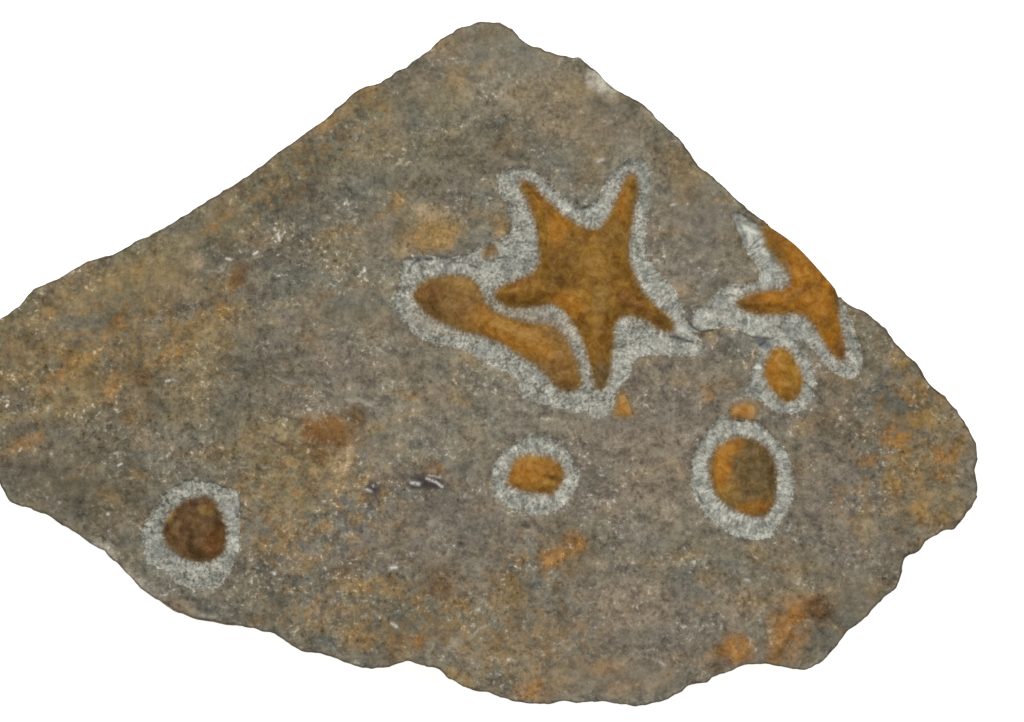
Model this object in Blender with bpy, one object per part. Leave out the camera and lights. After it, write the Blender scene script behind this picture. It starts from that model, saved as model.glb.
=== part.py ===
"""Fossil starfish slab: a loose slab of stone with two starfish and a few round and
long fossils fixed in it, lying on its flat underside.

Sizes are in millimetres until a mesh is made. +Z is up, +X runs along the slab, and the
origin is under the middle of the slab, on the surface that it lies on. Every fossil is a
solid of its own, seated in a pocket of the slab with a thin gap all round.
"""
import math

import bmesh
import bpy
from mathutils import Vector, noise
from mathutils.geometry import delaunay_2d_cdt

MM = 0.001

# Slab
FACE_HEIGHT = 15.0          # mean height of the upper face
SWELL = 0.45                # rise and fall of the upper face from end to end
SWELL_LENGTH = 30.0
RIPPLE = 0.16               # rise and fall of the upper face over a few millimetres
RIPPLE_LENGTH = 7.0
RIM_ROUND = 0.3             # width of the worn edge around the upper face
RIM_DROP = 0.5              # how far the face falls away at that edge
RIM_DROP_WIDTH = 1.6
SIDE_SPACING = 2.5          # distance between points along the slab's side

# Ground that was cut down around the fossils
TRENCH_DEPTH = 0.7
TRENCH_SLOPE = 0.9          # width of the slope from the face down to the cut ground

# Fossils and their seats
SEAT_HEIGHT = 12.9          # height of the floor under every fossil
FIT_GAP = 0.3               # between a fossil and the stone that holds it
SHOULDER = 2.6              # how far in from its outline a fossil reaches its full relief
FOSSIL_SPACING = 1.15       # distance between points on a fossil
GROUND_SPACING = 1.9        # distance between points on the cut ground
FACE_SPACING = 4.2          # distance between points on the rest of the face

# The side, from the edge of the upper face down to the underside: share of the height,
# how far it lies inside the slab's outline, and how much it wanders in and out.
SIDE_COURSES = [
    (0.95, 0.0, 0.0),
    (0.86, 0.3, 0.4),
    (0.735, 0.5, 0.7),
    (0.665, 1.6, 1.1),
    (0.50, 1.2, 1.4),
    (0.37, 1.9, 1.5),
    (0.31, 2.9, 1.5),
    (0.13, 2.7, 1.5),
    (0.00, 3.6, 1.3),
]
COURSE_RISE = 2.6           # how far the courses climb and fall along the side
COURSE_LENGTH = 17.0
BREAK_LENGTH = 4.5          # length of the small breaks in the side

# Places where a flake has come off the upper face: middle, half length, half width,
# turn in degrees and depth.
FLAKES = [
    (19.5, 46.6, 3.6, 2.0, -40, 0.9),
    (-46.0, -41.6, 7.0, 2.2, -8, 0.9),
    (-63.0, -30.6, 2.4, 1.4, -35, 0.7),
    (38.0, -52.0, 3.6, 1.4, 20, 0.6),
    (77.5, -7.5, 4.0, 1.3, -50, 0.6),
]

SLAB_OUTLINE = [
    (0.7, 57.3), (2.8, 57), (5, 56), (6.3, 54.5), (7.7, 53.3), (9.7, 52.8), (11.5, 52), (14.2, 51.5),
    (16, 51.3), (17.5, 50.2), (20, 48.3), (21.5, 46.7), (23.8, 45.3), (26.3, 43.8), (28.8, 41.5),
    (31, 39.3), (33.2, 37.3), (34.8, 35), (36, 33.2), (37.8, 31.8), (40.2, 29.8), (41.8, 28.3),
    (43.7, 26.5), (45, 25.3), (46.8, 24.3), (48.2, 22.8), (50.7, 21.2), (52.7, 19.5), (54.8, 17.3),
    (57, 14.8), (58.8, 12.7), (59.8, 11), (61.3, 9.8), (63.5, 9), (65.5, 7.5), (67.7, 5.2), (70, 2.3),
    (72.5, 0), (73.8, -2.3), (75.3, -3.7), (77.7, -5.8), (79.7, -8.2), (81.2, -10.7), (82.3, -13.2),
    (82.8, -15.5), (82, -18), (82.7, -20.5), (82.5, -22.3), (80.5, -25.3), (78.8, -27.7), (76.7, -28),
    (74, -29.8), (72.3, -31.8), (70.5, -32.2), (70, -35), (69.2, -37.3), (67.7, -38.8), (66, -40),
    (64.3, -42.3), (62.3, -43.8), (60.5, -45.2), (58.7, -47.8), (56.8, -49.8), (55, -51),
    (52.3, -51.3), (49.7, -50.8), (47, -50.2), (43.8, -50.3), (41, -51.5), (38.3, -52.5),
    (37.2, -53.5), (35.3, -53.3), (33.3, -54.7), (31, -56), (28.2, -57), (25.2, -57.3), (22.3, -57),
    (19.8, -56.5), (16.7, -56.7), (13.8, -56.5), (10.7, -57), (7.2, -56.8), (3.3, -56), (-0.5, -54.7),
    (-3.8, -53.8), (-5.8, -52.7), (-7.3, -51), (-9.8, -50.5), (-12.5, -49.7), (-14.5, -50.2),
    (-15.8, -50.8), (-19.2, -51), (-22.2, -50.2), (-25, -49), (-28, -48.3), (-30.5, -48.2),
    (-32.5, -46.7), (-34.8, -45.2), (-37.5, -44.5), (-41.2, -43.8), (-45, -43.3), (-47.8, -42.8),
    (-50.3, -42), (-53, -40.3), (-55.5, -38.8), (-57.8, -37), (-59.8, -35), (-62, -32.8),
    (-63.3, -31.3), (-64.5, -31), (-66.5, -29.5), (-68.7, -28), (-70.8, -26.7), (-73.2, -25.2),
    (-75.5, -24.2), (-78.2, -23.5), (-79.8, -22.3), (-80.3, -21), (-81.3, -18.7), (-82, -15.2),
    (-81.7, -11), (-82.7, -6.3), (-82.3, -1.3), (-82.8, 2.7), (-82, 5.7), (-80.8, 7.7), (-79.3, 8.3),
    (-77.7, 9.8), (-76, 11.8), (-74, 13.3), (-71.5, 14.2), (-69.5, 15.2), (-67.5, 16.5), (-65.7, 17.3),
    (-63, 17.8), (-60.8, 19), (-58.2, 20.5), (-55.2, 21.7), (-52.5, 23.2), (-49.8, 25.2), (-46.5, 27),
    (-42.8, 29.3), (-39.2, 31.5), (-36.2, 33.8), (-33.2, 36.2), (-30.2, 38.5), (-26.8, 40.7),
    (-24.2, 43), (-22.3, 44.8), (-20.2, 46.3), (-17.2, 47.2), (-14.5, 48.8), (-11.5, 50.7),
    (-8.8, 52.8), (-6.5, 54.8), (-4.2, 56.2), (-1.7, 57),
]

# Outlines of the cut ground.
TRENCHES = {
    "main": [
        (2.3, 31.5), (4.5, 32.7), (7.7, 32.7), (9.7, 31), (12.2, 29), (14.3, 27), (16.2, 26), (17.7, 26),
        (19.2, 27.8), (20.8, 30.8), (22.5, 33), (24.3, 34.3), (26.7, 34), (27.8, 31.8), (27.8, 28),
        (27.5, 24), (27, 21), (27.2, 18.2), (28.5, 16.2), (30.2, 14.2), (32.3, 12), (33, 9.8),
        (33.5, 7.7), (34.5, 5.7), (36, 4.3), (37.2, 2.3), (34.8, 1.2), (31.3, 1.3), (27.7, 1.5),
        (25.2, 0.7), (24.5, -2), (23, -3.5), (22, -5.3), (21.7, -7.5), (20, -9), (18, -9.2),
        (17.2, -7.8), (15.3, -8.2), (12.5, -7.3), (9.5, -6.5), (6.7, -5.7), (6, -3.5), (4.5, -1.7),
        (2, -0.7), (-0.8, 1.2), (-3.8, 2.3), (-7.5, 3.2), (-10.7, 4.5), (-12.8, 6.7), (-15.3, 9.5),
        (-15, 11), (-14, 12.8), (-13.8, 15.3), (-13.2, 17.5), (-11, 18.2), (-7.8, 17.7), (-4.2, 17.8),
        (-2.3, 18.7), (-0.5, 20), (1.7, 20.5), (3.8, 21), (4.7, 22.5), (4.5, 24.7), (3.8, 26.8),
        (2.7, 29),
    ],
    "edge": [
        (41.2, 25.5), (43, 25.3), (45.2, 23.8), (46.6, 23.4), (47.8, 24.4), (51, 24.5), (58, 19.5),
        (61.9, 13.5),
        (60.2, 10.5), (60.8, 8.7), (61.7, 6.8), (62.3, 4.2), (63.2, 2), (63, -0.8), (62.3, -2.2),
        (60.8, -2.5), (59.2, -1.8), (57, -0.3), (55.2, 2.3), (53.5, 3.7), (51.2, 4.3), (47.8, 4.3),
        (45, 4.7), (42.3, 5.7), (39.2, 6.2), (36, 5.5), (34.2, 5.7), (34.7, 7.7), (35.7, 9.7),
        (37.7, 10), (39.2, 11.8), (40.5, 13.3), (43.7, 13.3), (46, 14.2), (46.2, 15.5), (44.7, 17.7),
        (43.5, 19.5), (42.3, 22.3),
    ],
    "oval": [
        (45.7, 3), (46.2, 2), (45.2, 0), (44.8, -2.2), (43.8, -3.8), (43.8, -5.3), (46.2, -6),
        (47.5, -7.3), (49.3, -8.2), (52, -8), (54.5, -6.5), (55.3, -4.2), (55.3, -1.5), (54.5, 1),
        (53.3, 3), (52, 4.2), (49.5, 5.2), (47.2, 4.3),
    ],
    "round_large": [
        (34.7, -17.8), (35.3, -14.7), (37, -11.8), (38.8, -9.7), (40.8, -8.3), (42.8, -9.3),
        (45.3, -9.5), (47.8, -11.5), (50, -13.7), (51.3, -16.3), (51.7, -19.2), (51.7, -22.3),
        (50.7, -24.8), (49.2, -26.5), (48.5, -28.7), (45.3, -29.2), (42.2, -28.3), (39.5, -26.7),
        (37.3, -24.8), (35.7, -22.3), (34.8, -20),
    ],
    "round_small": [
        (1.2, -19.2), (1.7, -16.8), (2.8, -15.2), (4.3, -13.5), (6.2, -12.3), (8.3, -11.8),
        (10.7, -11.8), (12.8, -13), (14.5, -15), (16, -17.2), (16.2, -19), (15.2, -21.2),
        (14, -22.8), (12.5, -24.3), (10.8, -25.5), (8.8, -25.2), (6.8, -25.3), (5.7, -24.3),
        (3.8, -23.5), (2.3, -22.5), (1.7, -20.8),
    ],
    "dark": [
        (-57, -29), (-56.3, -26.5), (-54.8, -24), (-53, -21.8), (-51, -20.2), (-49, -19),
        (-46.8, -19.3), (-44.7, -19.8), (-42.5, -20.5), (-40.8, -21.2), (-40.5, -23.7),
        (-40.7, -26.3), (-40.5, -28.3), (-40.7, -30.7), (-41.3, -33), (-42.5, -35.2),
        (-44.2, -37.2), (-46.3, -37.5), (-49, -37.3), (-51.2, -36.5), (-52.3, -34.8),
        (-54.5, -33.7), (-56.2, -32.7), (-56.7, -31),
    ],
}

# Every fossil: how high its middle stands above the cut ground, and its outline.
FOSSILS = {
    "main_starfish": (1.5, [
        (6, 30), (6.8, 30.7), (8.2, 30), (9.7, 28.5), (11.8, 26.3), (14, 24.5), (16.2, 23),
        (17.8, 22.5), (19.2, 22.5), (20.3, 23.7), (21.2, 25.2), (22.2, 27.3), (23.2, 29.8),
        (24, 31.2), (24.8, 31.7), (25.5, 31.2), (25.7, 29.5), (25.3, 26.8), (25, 24.3),
        (24.5, 21.8), (24.2, 19.5), (24.5, 17.3), (25.2, 15.2), (26.3, 12.7), (27.8, 10.7),
        (29.7, 9), (31.3, 7.7), (32, 6.5), (31.5, 5.5), (30.3, 5.5), (28.8, 6.2), (27.2, 7.3),
        (25.2, 8), (23.3, 8), (22.2, 7.2), (21.8, 4.7), (21.5, 1.5), (21, -1.5), (20.5, -3.7),
        (19.7, -4.5), (18.8, -3.8), (18.3, -1.7), (17.5, 1.2), (16.5, 4), (15.2, 6.5), (13.5, 8.7),
        (12, 9.8), (10.5, 10), (8.2, 9.5), (5.8, 9.3), (3.8, 9.7), (2.5, 10.5), (2, 11.5),
        (2.5, 12.5), (4.2, 13.5), (6.3, 14.2), (8.2, 15), (9.2, 16.2), (9.5, 17.8), (9.3, 20.3),
        (9, 22.8), (8.3, 25.2), (7.2, 27.7),
    ]),
    "edge_starfish": (1.3, [
        (42.3, 9.8), (43, 11), (45, 11.7), (47.5, 12.2), (50, 12.3), (51.3, 13.3), (51.2, 15.3),
        (50.2, 17.7), (49.2, 19.7), (48, 21.3), (47.1, 22.5), (47.6, 23), (50.6, 21), (52.6, 19.3),
        (54.7, 17.1), (56.9, 14.6), (58.7, 12.5), (59.4, 11), (59.3, 8.3), (59.8, 5.5), (60.3, 3),
        (60.3, 1.2), (59.7, 0.7), (58.7, 1.3), (57.5, 2.8), (56.3, 4.7), (55, 6.8), (53.5, 8.2),
        (50.7, 8.5), (47.2, 8.3), (44.3, 8.7),
    ]),
    "long_fossil": (1.3, [
        (-11.8, 11.3), (-10.8, 13), (-8.8, 14.3), (-6.3, 14.8), (-3.5, 14.7), (-1.5, 14),
        (-0.5, 12.7), (0.2, 11), (1.3, 9.3), (3.2, 8.2), (6, 7.3), (8.8, 6.8), (11.3, 6.5),
        (13, 5.2), (14.3, 3.2), (15.5, 0.7), (16.2, -1.7), (16.3, -3.5), (15.5, -4.5),
        (13.8, -4.5), (12.2, -3.7), (10.7, -2), (9.3, -0.5), (7.3, 0.7), (4.8, 2.3), (2.3, 3.8),
        (-0.5, 4.8), (-3.5, 5.5), (-6.3, 6.7), (-8.7, 8), (-10.5, 9.5),
    ]),
    "oval_fossil": (1.1, [
        (48.2, 2.2), (49.5, 2.8), (51, 2.3), (52, 0.7), (53, -1.2), (53.3, -3.2), (52.8, -5),
        (51.7, -6.2), (50.2, -6.2), (49, -5), (47.7, -3.5), (47, -1.5), (47.3, 0.3),
    ]),
    "round_fossil_large": (1.5, [
        (37.8, -17), (38.3, -15), (39.5, -13.5), (41.5, -12.5), (43.7, -12.3), (46, -13),
        (47.8, -14.7), (48.8, -17), (49, -19.8), (48.7, -22.3), (48, -24.5), (46.5, -25.5),
        (44.3, -25.2), (41.8, -24.2), (39.4, -22.4), (38.2, -20),
    ]),
    "round_fossil_small": (1.2, [
        (4.2, -20), (4.3, -18.5), (4.8, -17), (5.8, -15.7), (7.2, -15.2), (8.8, -15.2),
        (10.8, -15.5), (12.3, -16.2), (13.3, -17.3), (13.5, -18.7), (13, -20), (12, -21.2),
        (10.7, -21.8), (9.2, -21.5), (7.5, -21.2), (5.7, -20.8),
    ]),
    "dark_round_fossil": (1.2, [
        (-53.5, -28), (-53, -26.3), (-51.8, -24.5), (-50.2, -23.2), (-48.5, -22.3), (-46.7, -22.2),
        (-45, -22.7), (-44, -24.2), (-43.3, -25.8), (-42.8, -28), (-43, -30.2), (-43.8, -31.8),
        (-45.3, -32.8), (-47.5, -33), (-49.5, -32.5), (-51.3, -31.5), (-52.8, -30.2),
    ]),
    "fragment_by_ring": (0.3, [
        (41.2, -8), (41.7, -6.8), (43.3, -6.5), (45.2, -6.8), (45.7, -7.8), (45, -9), (43.3, -9.3),
        (41.8, -9),
    ]),
    "fragment_by_star": (0.3, [
        (23, -4.7), (23.8, -5.3), (24.5, -7), (25.2, -8.5), (23.7, -8.8), (22, -8.5), (22.3, -6.8),
    ]),
}

# The slab broke through the edge starfish, so its seat is open there: the wall of the seat
# runs between these two points of the fossil's outline, and then out past the slab's side.
EDGE_SEAT_START = (47.6, 23)
EDGE_SEAT_END = (59.4, 11)
EDGE_SEAT_OUTSIDE = [(61.5, 13.5), (57, 20), (50, 25)]

# Colour, roughness.
STONE = ((0.21, 0.178, 0.132), 0.86)
OCHRE = ((0.235, 0.115, 0.028), 0.62)
BROWN = ((0.12, 0.068, 0.03), 0.7)
PALE_OCHRE = ((0.30, 0.17, 0.07), 0.75)
FINISHES = {
    "matrix_slab": STONE,
    "dark_round_fossil": BROWN,
    "fragment_by_ring": PALE_OCHRE,
    "fragment_by_star": PALE_OCHRE,
}


def smooth_loop(points, spacing):
    """A closed curve through the points, with further points where they lie far apart."""
    loop = []
    count = len(points)
    for index, start in enumerate(points):
        before = Vector(points[index - 1])
        here = Vector(start)
        after = Vector(points[(index + 1) % count])
        beyond = Vector(points[(index + 2) % count])
        steps = max(1, round((after - here).length / spacing))
        for step in range(steps):
            t = step / steps
            bend = 2 * before - 5 * here + 4 * after - beyond
            twist = 3 * here - before - 3 * after + beyond
            loop.append(0.5 * (2 * here + (after - before) * t + bend * t * t + twist * t ** 3))
    return loop


def turned_left(loop):
    """The loop, running anticlockwise."""
    area = sum(a.cross(b) for a, b in zip(loop, loop[1:] + loop[:1]))
    return loop if area > 0 else loop[::-1]


def outward(loop):
    """The direction out of an anticlockwise loop at each of its points."""
    normals = []
    for index in range(len(loop)):
        run = loop[(index + 1) % len(loop)] - loop[index - 1]
        normals.append(Vector((run.y, -run.x)).normalized())
    return normals


def softened_loop(loop, reach):
    """The loop with every point at the middle of its neighbours."""
    count = len(loop)
    soft = []
    for index in range(count):
        run = [loop[(index + step) % count] for step in range(-reach, reach + 1)]
        soft.append(sum(run, Vector((0, 0))) / len(run))
    return soft


def widened(loop, distance):
    """The loop moved outwards by a distance, or inwards by a negative one."""
    return [point + normal * distance for point, normal in zip(loop, outward(loop))]


def inside(loop, x, y):
    """Whether a point lies within a loop."""
    found = False
    for a, b in zip(loop, loop[1:] + loop[:1]):
        if (a.y > y) != (b.y > y) and x < (b.x - a.x) * (y - a.y) / (b.y - a.y) + a.x:
            found = not found
    return found


def distance_to(loop, x, y):
    """The distance from a point to a loop."""
    nearest = math.inf
    for a, b in zip(loop, loop[1:] + loop[:1]):
        run_x = b.x - a.x
        run_y = b.y - a.y
        share = ((x - a.x) * run_x + (y - a.y) * run_y) / (run_x * run_x + run_y * run_y)
        share = min(1.0, max(0.0, share))
        away = math.hypot(x - a.x - share * run_x, y - a.y - share * run_y)
        nearest = min(nearest, away)
    return nearest


def eased(value):
    """0 to 1 with a soft start and end."""
    value = min(1.0, max(0.0, value))
    return value * value * (3 - 2 * value)


def flake_depth(x, y):
    """How much of the upper face is missing at a point where flakes came off."""
    depth = 0.0
    for middle_x, middle_y, half_length, half_width, turn, deep in FLAKES:
        angle = math.radians(turn)
        along = (x - middle_x) * math.cos(angle) + (y - middle_y) * math.sin(angle)
        across = (y - middle_y) * math.cos(angle) - (x - middle_x) * math.sin(angle)
        reach = math.hypot(along / half_length, across / half_width)
        depth = max(depth, deep * eased((1.25 - reach) / 0.4))
    return depth


def trench_depth(x, y):
    """How far the ground is cut down at a point."""
    depth = 0.0
    for loop in TRENCH_LOOPS:
        if inside(loop, x, y):
            depth = max(depth, TRENCH_DEPTH * eased(distance_to(loop, x, y) / TRENCH_SLOPE))
    return depth


def face_height(x, y):
    """Height of the slab's upper face, with the cut ground and the flakes."""
    swell = noise.noise(Vector((x, y, 3.0)) / SWELL_LENGTH) * SWELL
    ripple = noise.noise(Vector((x, y, 40.0)) / RIPPLE_LENGTH) * RIPPLE
    edge = math.exp(-distance_to(SIDE_LOOP, x, y) / RIM_DROP_WIDTH) * RIM_DROP
    return FACE_HEIGHT + swell + ripple - edge - flake_depth(x, y) - trench_depth(x, y)


def grid(loop, spacing):
    """Points in staggered rows over the box of a loop, a little out of line."""
    points = []
    low_x = min(point.x for point in loop)
    high_x = max(point.x for point in loop)
    low_y = min(point.y for point in loop)
    high_y = max(point.y for point in loop)
    row = 0
    y = low_y
    while y < high_y:
        x = low_x + (row % 2) * spacing / 2
        while x < high_x:
            shift_x = noise.noise(Vector((x, y, 9.0)) * 1.7) * spacing * 0.3
            shift_y = noise.noise(Vector((x, y, 59.0)) * 1.7) * spacing * 0.3
            points.append(Vector((x + shift_x, y + shift_y)))
            x += spacing
        y += spacing * 0.866
        row += 1
    return points


def plate(outline, loops, points, height):
    """A sheet of triangles within the outline that follows the loops and the points."""
    places = []
    edges = []
    for loop in [outline] + loops:
        first = len(places)
        places += loop
        edges += [(first + i, first + (i + 1) % len(loop)) for i in range(len(loop))]
    places += points
    corners, _, faces, _, _, _ = delaunay_2d_cdt(places, edges, [], 0, 0.02)
    faces = sorted(face[face.index(min(face)):] + face[:face.index(min(face))] for face in faces)
    mesh = bmesh.new()
    vertices = [mesh.verts.new((c.x, c.y, height(c.x, c.y))) for c in corners]
    for face in faces:
        middle = sum((corners[i] for i in face), Vector((0, 0))) / 3
        if inside(outline, middle.x, middle.y):
            mesh.faces.new([vertices[i] for i in face])
    loose = [vertex for vertex in mesh.verts if not vertex.link_faces]
    bmesh.ops.delete(mesh, geom=loose, context="VERTS")
    return mesh


def finished(name, mesh):
    """The object made from a mesh in millimetres, closed and facing outwards."""
    bmesh.ops.recalc_face_normals(mesh, faces=mesh.faces)
    bmesh.ops.scale(mesh, vec=(MM, MM, MM), verts=mesh.verts)
    data = bpy.data.meshes.new(name)
    mesh.to_mesh(data)
    mesh.free()
    data.shade_smooth()
    data.set_sharp_from_angle(angle=math.radians(40))
    item = bpy.data.objects.new(name, data)
    bpy.context.scene.collection.objects.link(item)
    data.materials.append(material(name, *FINISHES.get(name, OCHRE)))
    return item


def material(name, colour, roughness):
    """A plain surface of one colour."""
    surface = bpy.data.materials.new(name)
    surface.use_nodes = True
    shader = surface.node_tree.nodes["Principled BSDF"]
    shader.inputs["Base Color"].default_value = (*colour, 1.0)
    shader.inputs["Roughness"].default_value = roughness
    shader.inputs["Metallic"].default_value = 0.0
    return surface


def cut_seats(mesh, seats):
    """Drops the faces within the seats to the seats' floor, and walls them round."""
    floor = []
    for face in mesh.faces:
        middle = face.calc_center_median()
        if any(inside(seat, middle.x, middle.y) for seat in seats):
            floor.append(face)
    corners = [[vertex.co.xy.copy().freeze() for vertex in face.verts] for face in floor]
    sunk = set(floor)
    rims = [edge for edge in mesh.edges
            if len(edge.link_faces) == 2 and len(sunk.intersection(edge.link_faces)) == 1]
    bmesh.ops.delete(mesh, geom=floor, context="FACES")
    made = bmesh.ops.extrude_edge_only(mesh, edges=rims)["geom"]
    lowered = {}
    for vertex in made:
        if isinstance(vertex, bmesh.types.BMVert):
            vertex.co.z = SEAT_HEIGHT
            lowered[vertex.co.xy.copy().freeze()] = vertex
    for places in corners:
        for place in places:
            if place not in lowered:
                lowered[place] = mesh.verts.new((place.x, place.y, SEAT_HEIGHT))
        mesh.faces.new([lowered[place] for place in places])


def side_frame(base):
    """The softened side's offset and its outward direction beside a point of the rim."""
    closest = math.inf
    for index, a in enumerate(SIDE_LOOP):
        after = (index + 1) % len(SIDE_LOOP)
        run = SIDE_LOOP[after] - a
        share = min(1.0, max(0.0, (base - a).dot(run) / run.length_squared))
        away = (base - a.lerp(SIDE_LOOP[after], share)).length
        if away < closest:
            closest = away
            start = SOFT_SIDE_LOOP[index] - a
            end = SOFT_SIDE_LOOP[after] - SIDE_LOOP[after]
            offset = start.lerp(end, share)
            normal = SIDE_NORMALS[index].lerp(SIDE_NORMALS[after], share).normalized()
    return offset, normal


def side_point(base, course, height):
    """Where a point of the rim comes to lie on one course of the side."""
    share, inset, wander = course
    offset, normal = side_frame(base)
    climb = noise.noise(Vector((base.x, base.y, 80.0)) / COURSE_LENGTH) * COURSE_RISE
    z = height * share + climb * 4 * share * (1 - share)
    rough = noise.noise(Vector((base.x, base.y, z * 2.2)) / BREAK_LENGTH)
    broad = noise.noise(Vector((base.x, base.y, z * 1.2 + 60)) / (BREAK_LENGTH * 3))
    inset = max(0.0, inset + wander * (rough + broad))
    place = base + offset * eased((0.9 - share) * 1.8) + normal * (RIM_ROUND - inset)
    return place.x, place.y, z


def build_slab():
    """The stone slab, with a seat for every fossil and a flat underside."""
    rim = widened(SIDE_LOOP, -RIM_ROUND)
    points = []
    for point in grid(rim, GROUND_SPACING):
        if trench_depth(point.x, point.y) > 0 and min(
                distance_to(loop, point.x, point.y) for loop in TRENCH_LOOPS + SEATS) > 0.7:
            if not any(inside(seat, point.x, point.y) for seat in SEATS):
                points.append(point)
    for point in grid(rim, FACE_SPACING):
        if min(distance_to(loop, point.x, point.y) for loop in TRENCH_LOOPS + SEATS + [rim]) > 1.6:
            if inside(rim, point.x, point.y) and trench_depth(point.x, point.y) == 0:
                points.append(point)
    points = [point for point in points if inside(rim, point.x, point.y)]
    mesh = plate(rim, TRENCH_LOOPS + SEATS, points, face_height)
    cut_seats(mesh, SEATS)

    base = {}
    edges = [edge for edge in mesh.edges if edge.is_boundary]
    for vertex in {vertex for edge in edges for vertex in edge.verts}:
        base[vertex] = (vertex.co.xy.copy(), vertex.co.z)
    part_stacked(base)
    for course in SIDE_COURSES:
        above = {vertex.co.copy().freeze(): rim_place for vertex, rim_place in base.items()}
        made = bmesh.ops.extrude_edge_only(mesh, edges=edges)["geom"]
        edges = [part for part in made if isinstance(part, bmesh.types.BMEdge)]
        lower = [part for part in made if isinstance(part, bmesh.types.BMVert)]
        base = {vertex: above[vertex.co.copy().freeze()] for vertex in lower}
        for vertex, (spot, height) in base.items():
            vertex.co = side_point(spot, course, height)
    bmesh.ops.contextual_create(mesh, geom=edges)
    return finished("matrix_slab", mesh)


def part_stacked(base):
    """Sets apart the rim points that lie one above the other at the open seat's ends."""
    stacks = {}
    for vertex, (spot, height) in base.items():
        stacks.setdefault((round(spot.x, 3), round(spot.y, 3)), []).append(vertex)
    for stack in stacks.values():
        if len(stack) == 1:
            continue
        lower = min(stack, key=lambda vertex: base[vertex][1])
        spot, height = base[lower]
        room = {(other.co.xy - spot).length: other.co.xy for other in base if other not in stack
                and other.co.z == lower.co.z}
        base[lower] = (spot.lerp(room[min(room)], 0.4), height)


def build_fossil(name, relief, outline):
    """A fossil with a domed top and a flat foot a gap above the floor of its seat."""
    points = [point for point in grid(outline, FOSSIL_SPACING)
              if inside(outline, point.x, point.y)
              and distance_to(outline, point.x, point.y) > FOSSIL_SPACING * 0.5]

    def height(x, y):
        depth = min(distance_to(outline, x, y) / SHOULDER, 1.0)
        dome = math.sqrt(1 - (1 - depth) ** 2)
        return face_height(x, y) + relief * (0.06 + 0.94 * dome)

    mesh = plate(outline, [], points, height)
    edges = [edge for edge in mesh.edges if edge.is_boundary]
    made = bmesh.ops.extrude_edge_only(mesh, edges=edges)["geom"]
    edges = [part for part in made if isinstance(part, bmesh.types.BMEdge)]
    for vertex in {vertex for edge in edges for vertex in edge.verts}:
        vertex.co.z = SEAT_HEIGHT + FIT_GAP
    bmesh.ops.contextual_create(mesh, geom=edges)
    return finished(name, mesh)


def seat_loop(name, outline):
    """The outline of the seat that holds a fossil."""
    if name != "edge_starfish":
        return widened(outline, FIT_GAP)
    start = min(range(len(outline)), key=lambda i: (outline[i] - Vector(EDGE_SEAT_START)).length)
    loop = outline[start:] + outline[:start]
    end = min(range(len(loop)), key=lambda i: (loop[i] - Vector(EDGE_SEAT_END)).length)
    wall = widened(loop, FIT_GAP)
    held = wall[:end + 1] if end > len(loop) / 2 else wall[end:] + wall[:1]
    outside = [Vector(point) for point in EDGE_SEAT_OUTSIDE]
    if (held[-1] - Vector(EDGE_SEAT_END)).length > (held[0] - Vector(EDGE_SEAT_END)).length:
        outside.reverse()
    return held + outside


for leftover in list(bpy.data.objects):
    bpy.data.objects.remove(leftover, do_unlink=True)

SIDE_LOOP = turned_left(smooth_loop(SLAB_OUTLINE, SIDE_SPACING))
SOFT_SIDE_LOOP = softened_loop(SIDE_LOOP, 4)
SIDE_NORMALS = outward(SOFT_SIDE_LOOP)
TRENCH_LOOPS = [turned_left(smooth_loop(points, 2.2)) for points in TRENCHES.values()]
FOSSIL_LOOPS = {name: turned_left(smooth_loop(points, FOSSIL_SPACING))
                for name, (relief, points) in FOSSILS.items()}
SEATS = [seat_loop(name, loop) for name, loop in FOSSIL_LOOPS.items()]

build_slab()
for fossil, (relief, _) in FOSSILS.items():
    build_fossil(fossil, relief, FOSSIL_LOOPS[fossil])
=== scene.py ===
# A loose slab of stone with two starfish and some round and long fossils in it, lying on
# a pale table with the fossil side up. Lengths are in millimetres until a mesh is made.
import math

import bmesh
import bpy
import numpy as np
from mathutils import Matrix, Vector, noise


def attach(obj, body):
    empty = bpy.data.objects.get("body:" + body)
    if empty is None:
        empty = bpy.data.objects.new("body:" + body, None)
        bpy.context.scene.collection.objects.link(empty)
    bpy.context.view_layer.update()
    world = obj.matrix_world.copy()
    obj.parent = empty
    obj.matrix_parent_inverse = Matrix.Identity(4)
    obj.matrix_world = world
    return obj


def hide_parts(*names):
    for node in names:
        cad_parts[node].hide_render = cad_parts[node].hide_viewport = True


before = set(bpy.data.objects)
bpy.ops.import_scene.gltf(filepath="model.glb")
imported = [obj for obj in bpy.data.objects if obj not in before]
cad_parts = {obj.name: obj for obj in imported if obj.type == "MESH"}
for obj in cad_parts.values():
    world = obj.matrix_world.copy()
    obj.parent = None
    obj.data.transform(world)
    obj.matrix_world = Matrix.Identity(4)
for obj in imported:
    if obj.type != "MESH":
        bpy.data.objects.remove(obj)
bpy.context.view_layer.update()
mm = 0.001
print("frame loaded:", len(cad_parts), "nodes")


def onLevel(flat, height=0.0):
    # places given by x and y, set at one height
    return np.column_stack([flat, np.full(len(flat), height)])


def cloud(places, size, seed=0.0, octaves=1):
    # soft noise with lumps of the given size, from about -1 to 1
    shift = Vector((seed * 7.31, seed * 3.17, seed * 5.73))
    return np.array([noise.fractal(Vector(place) / size + shift, 1.0, 2.0, octaves)
                     for place in places])


def lumps(places, riseAndSize, seed=0.0, octaves=1):
    # relief made of soft lumps
    rise, size = riseAndSize
    return cloud(places, size, seed, octaves) * rise


def eased(values):
    # 0 to 1 with a soft start and end
    values = np.clip(values, 0.0, 1.0)
    return values * values * (3 - 2 * values)


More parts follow.
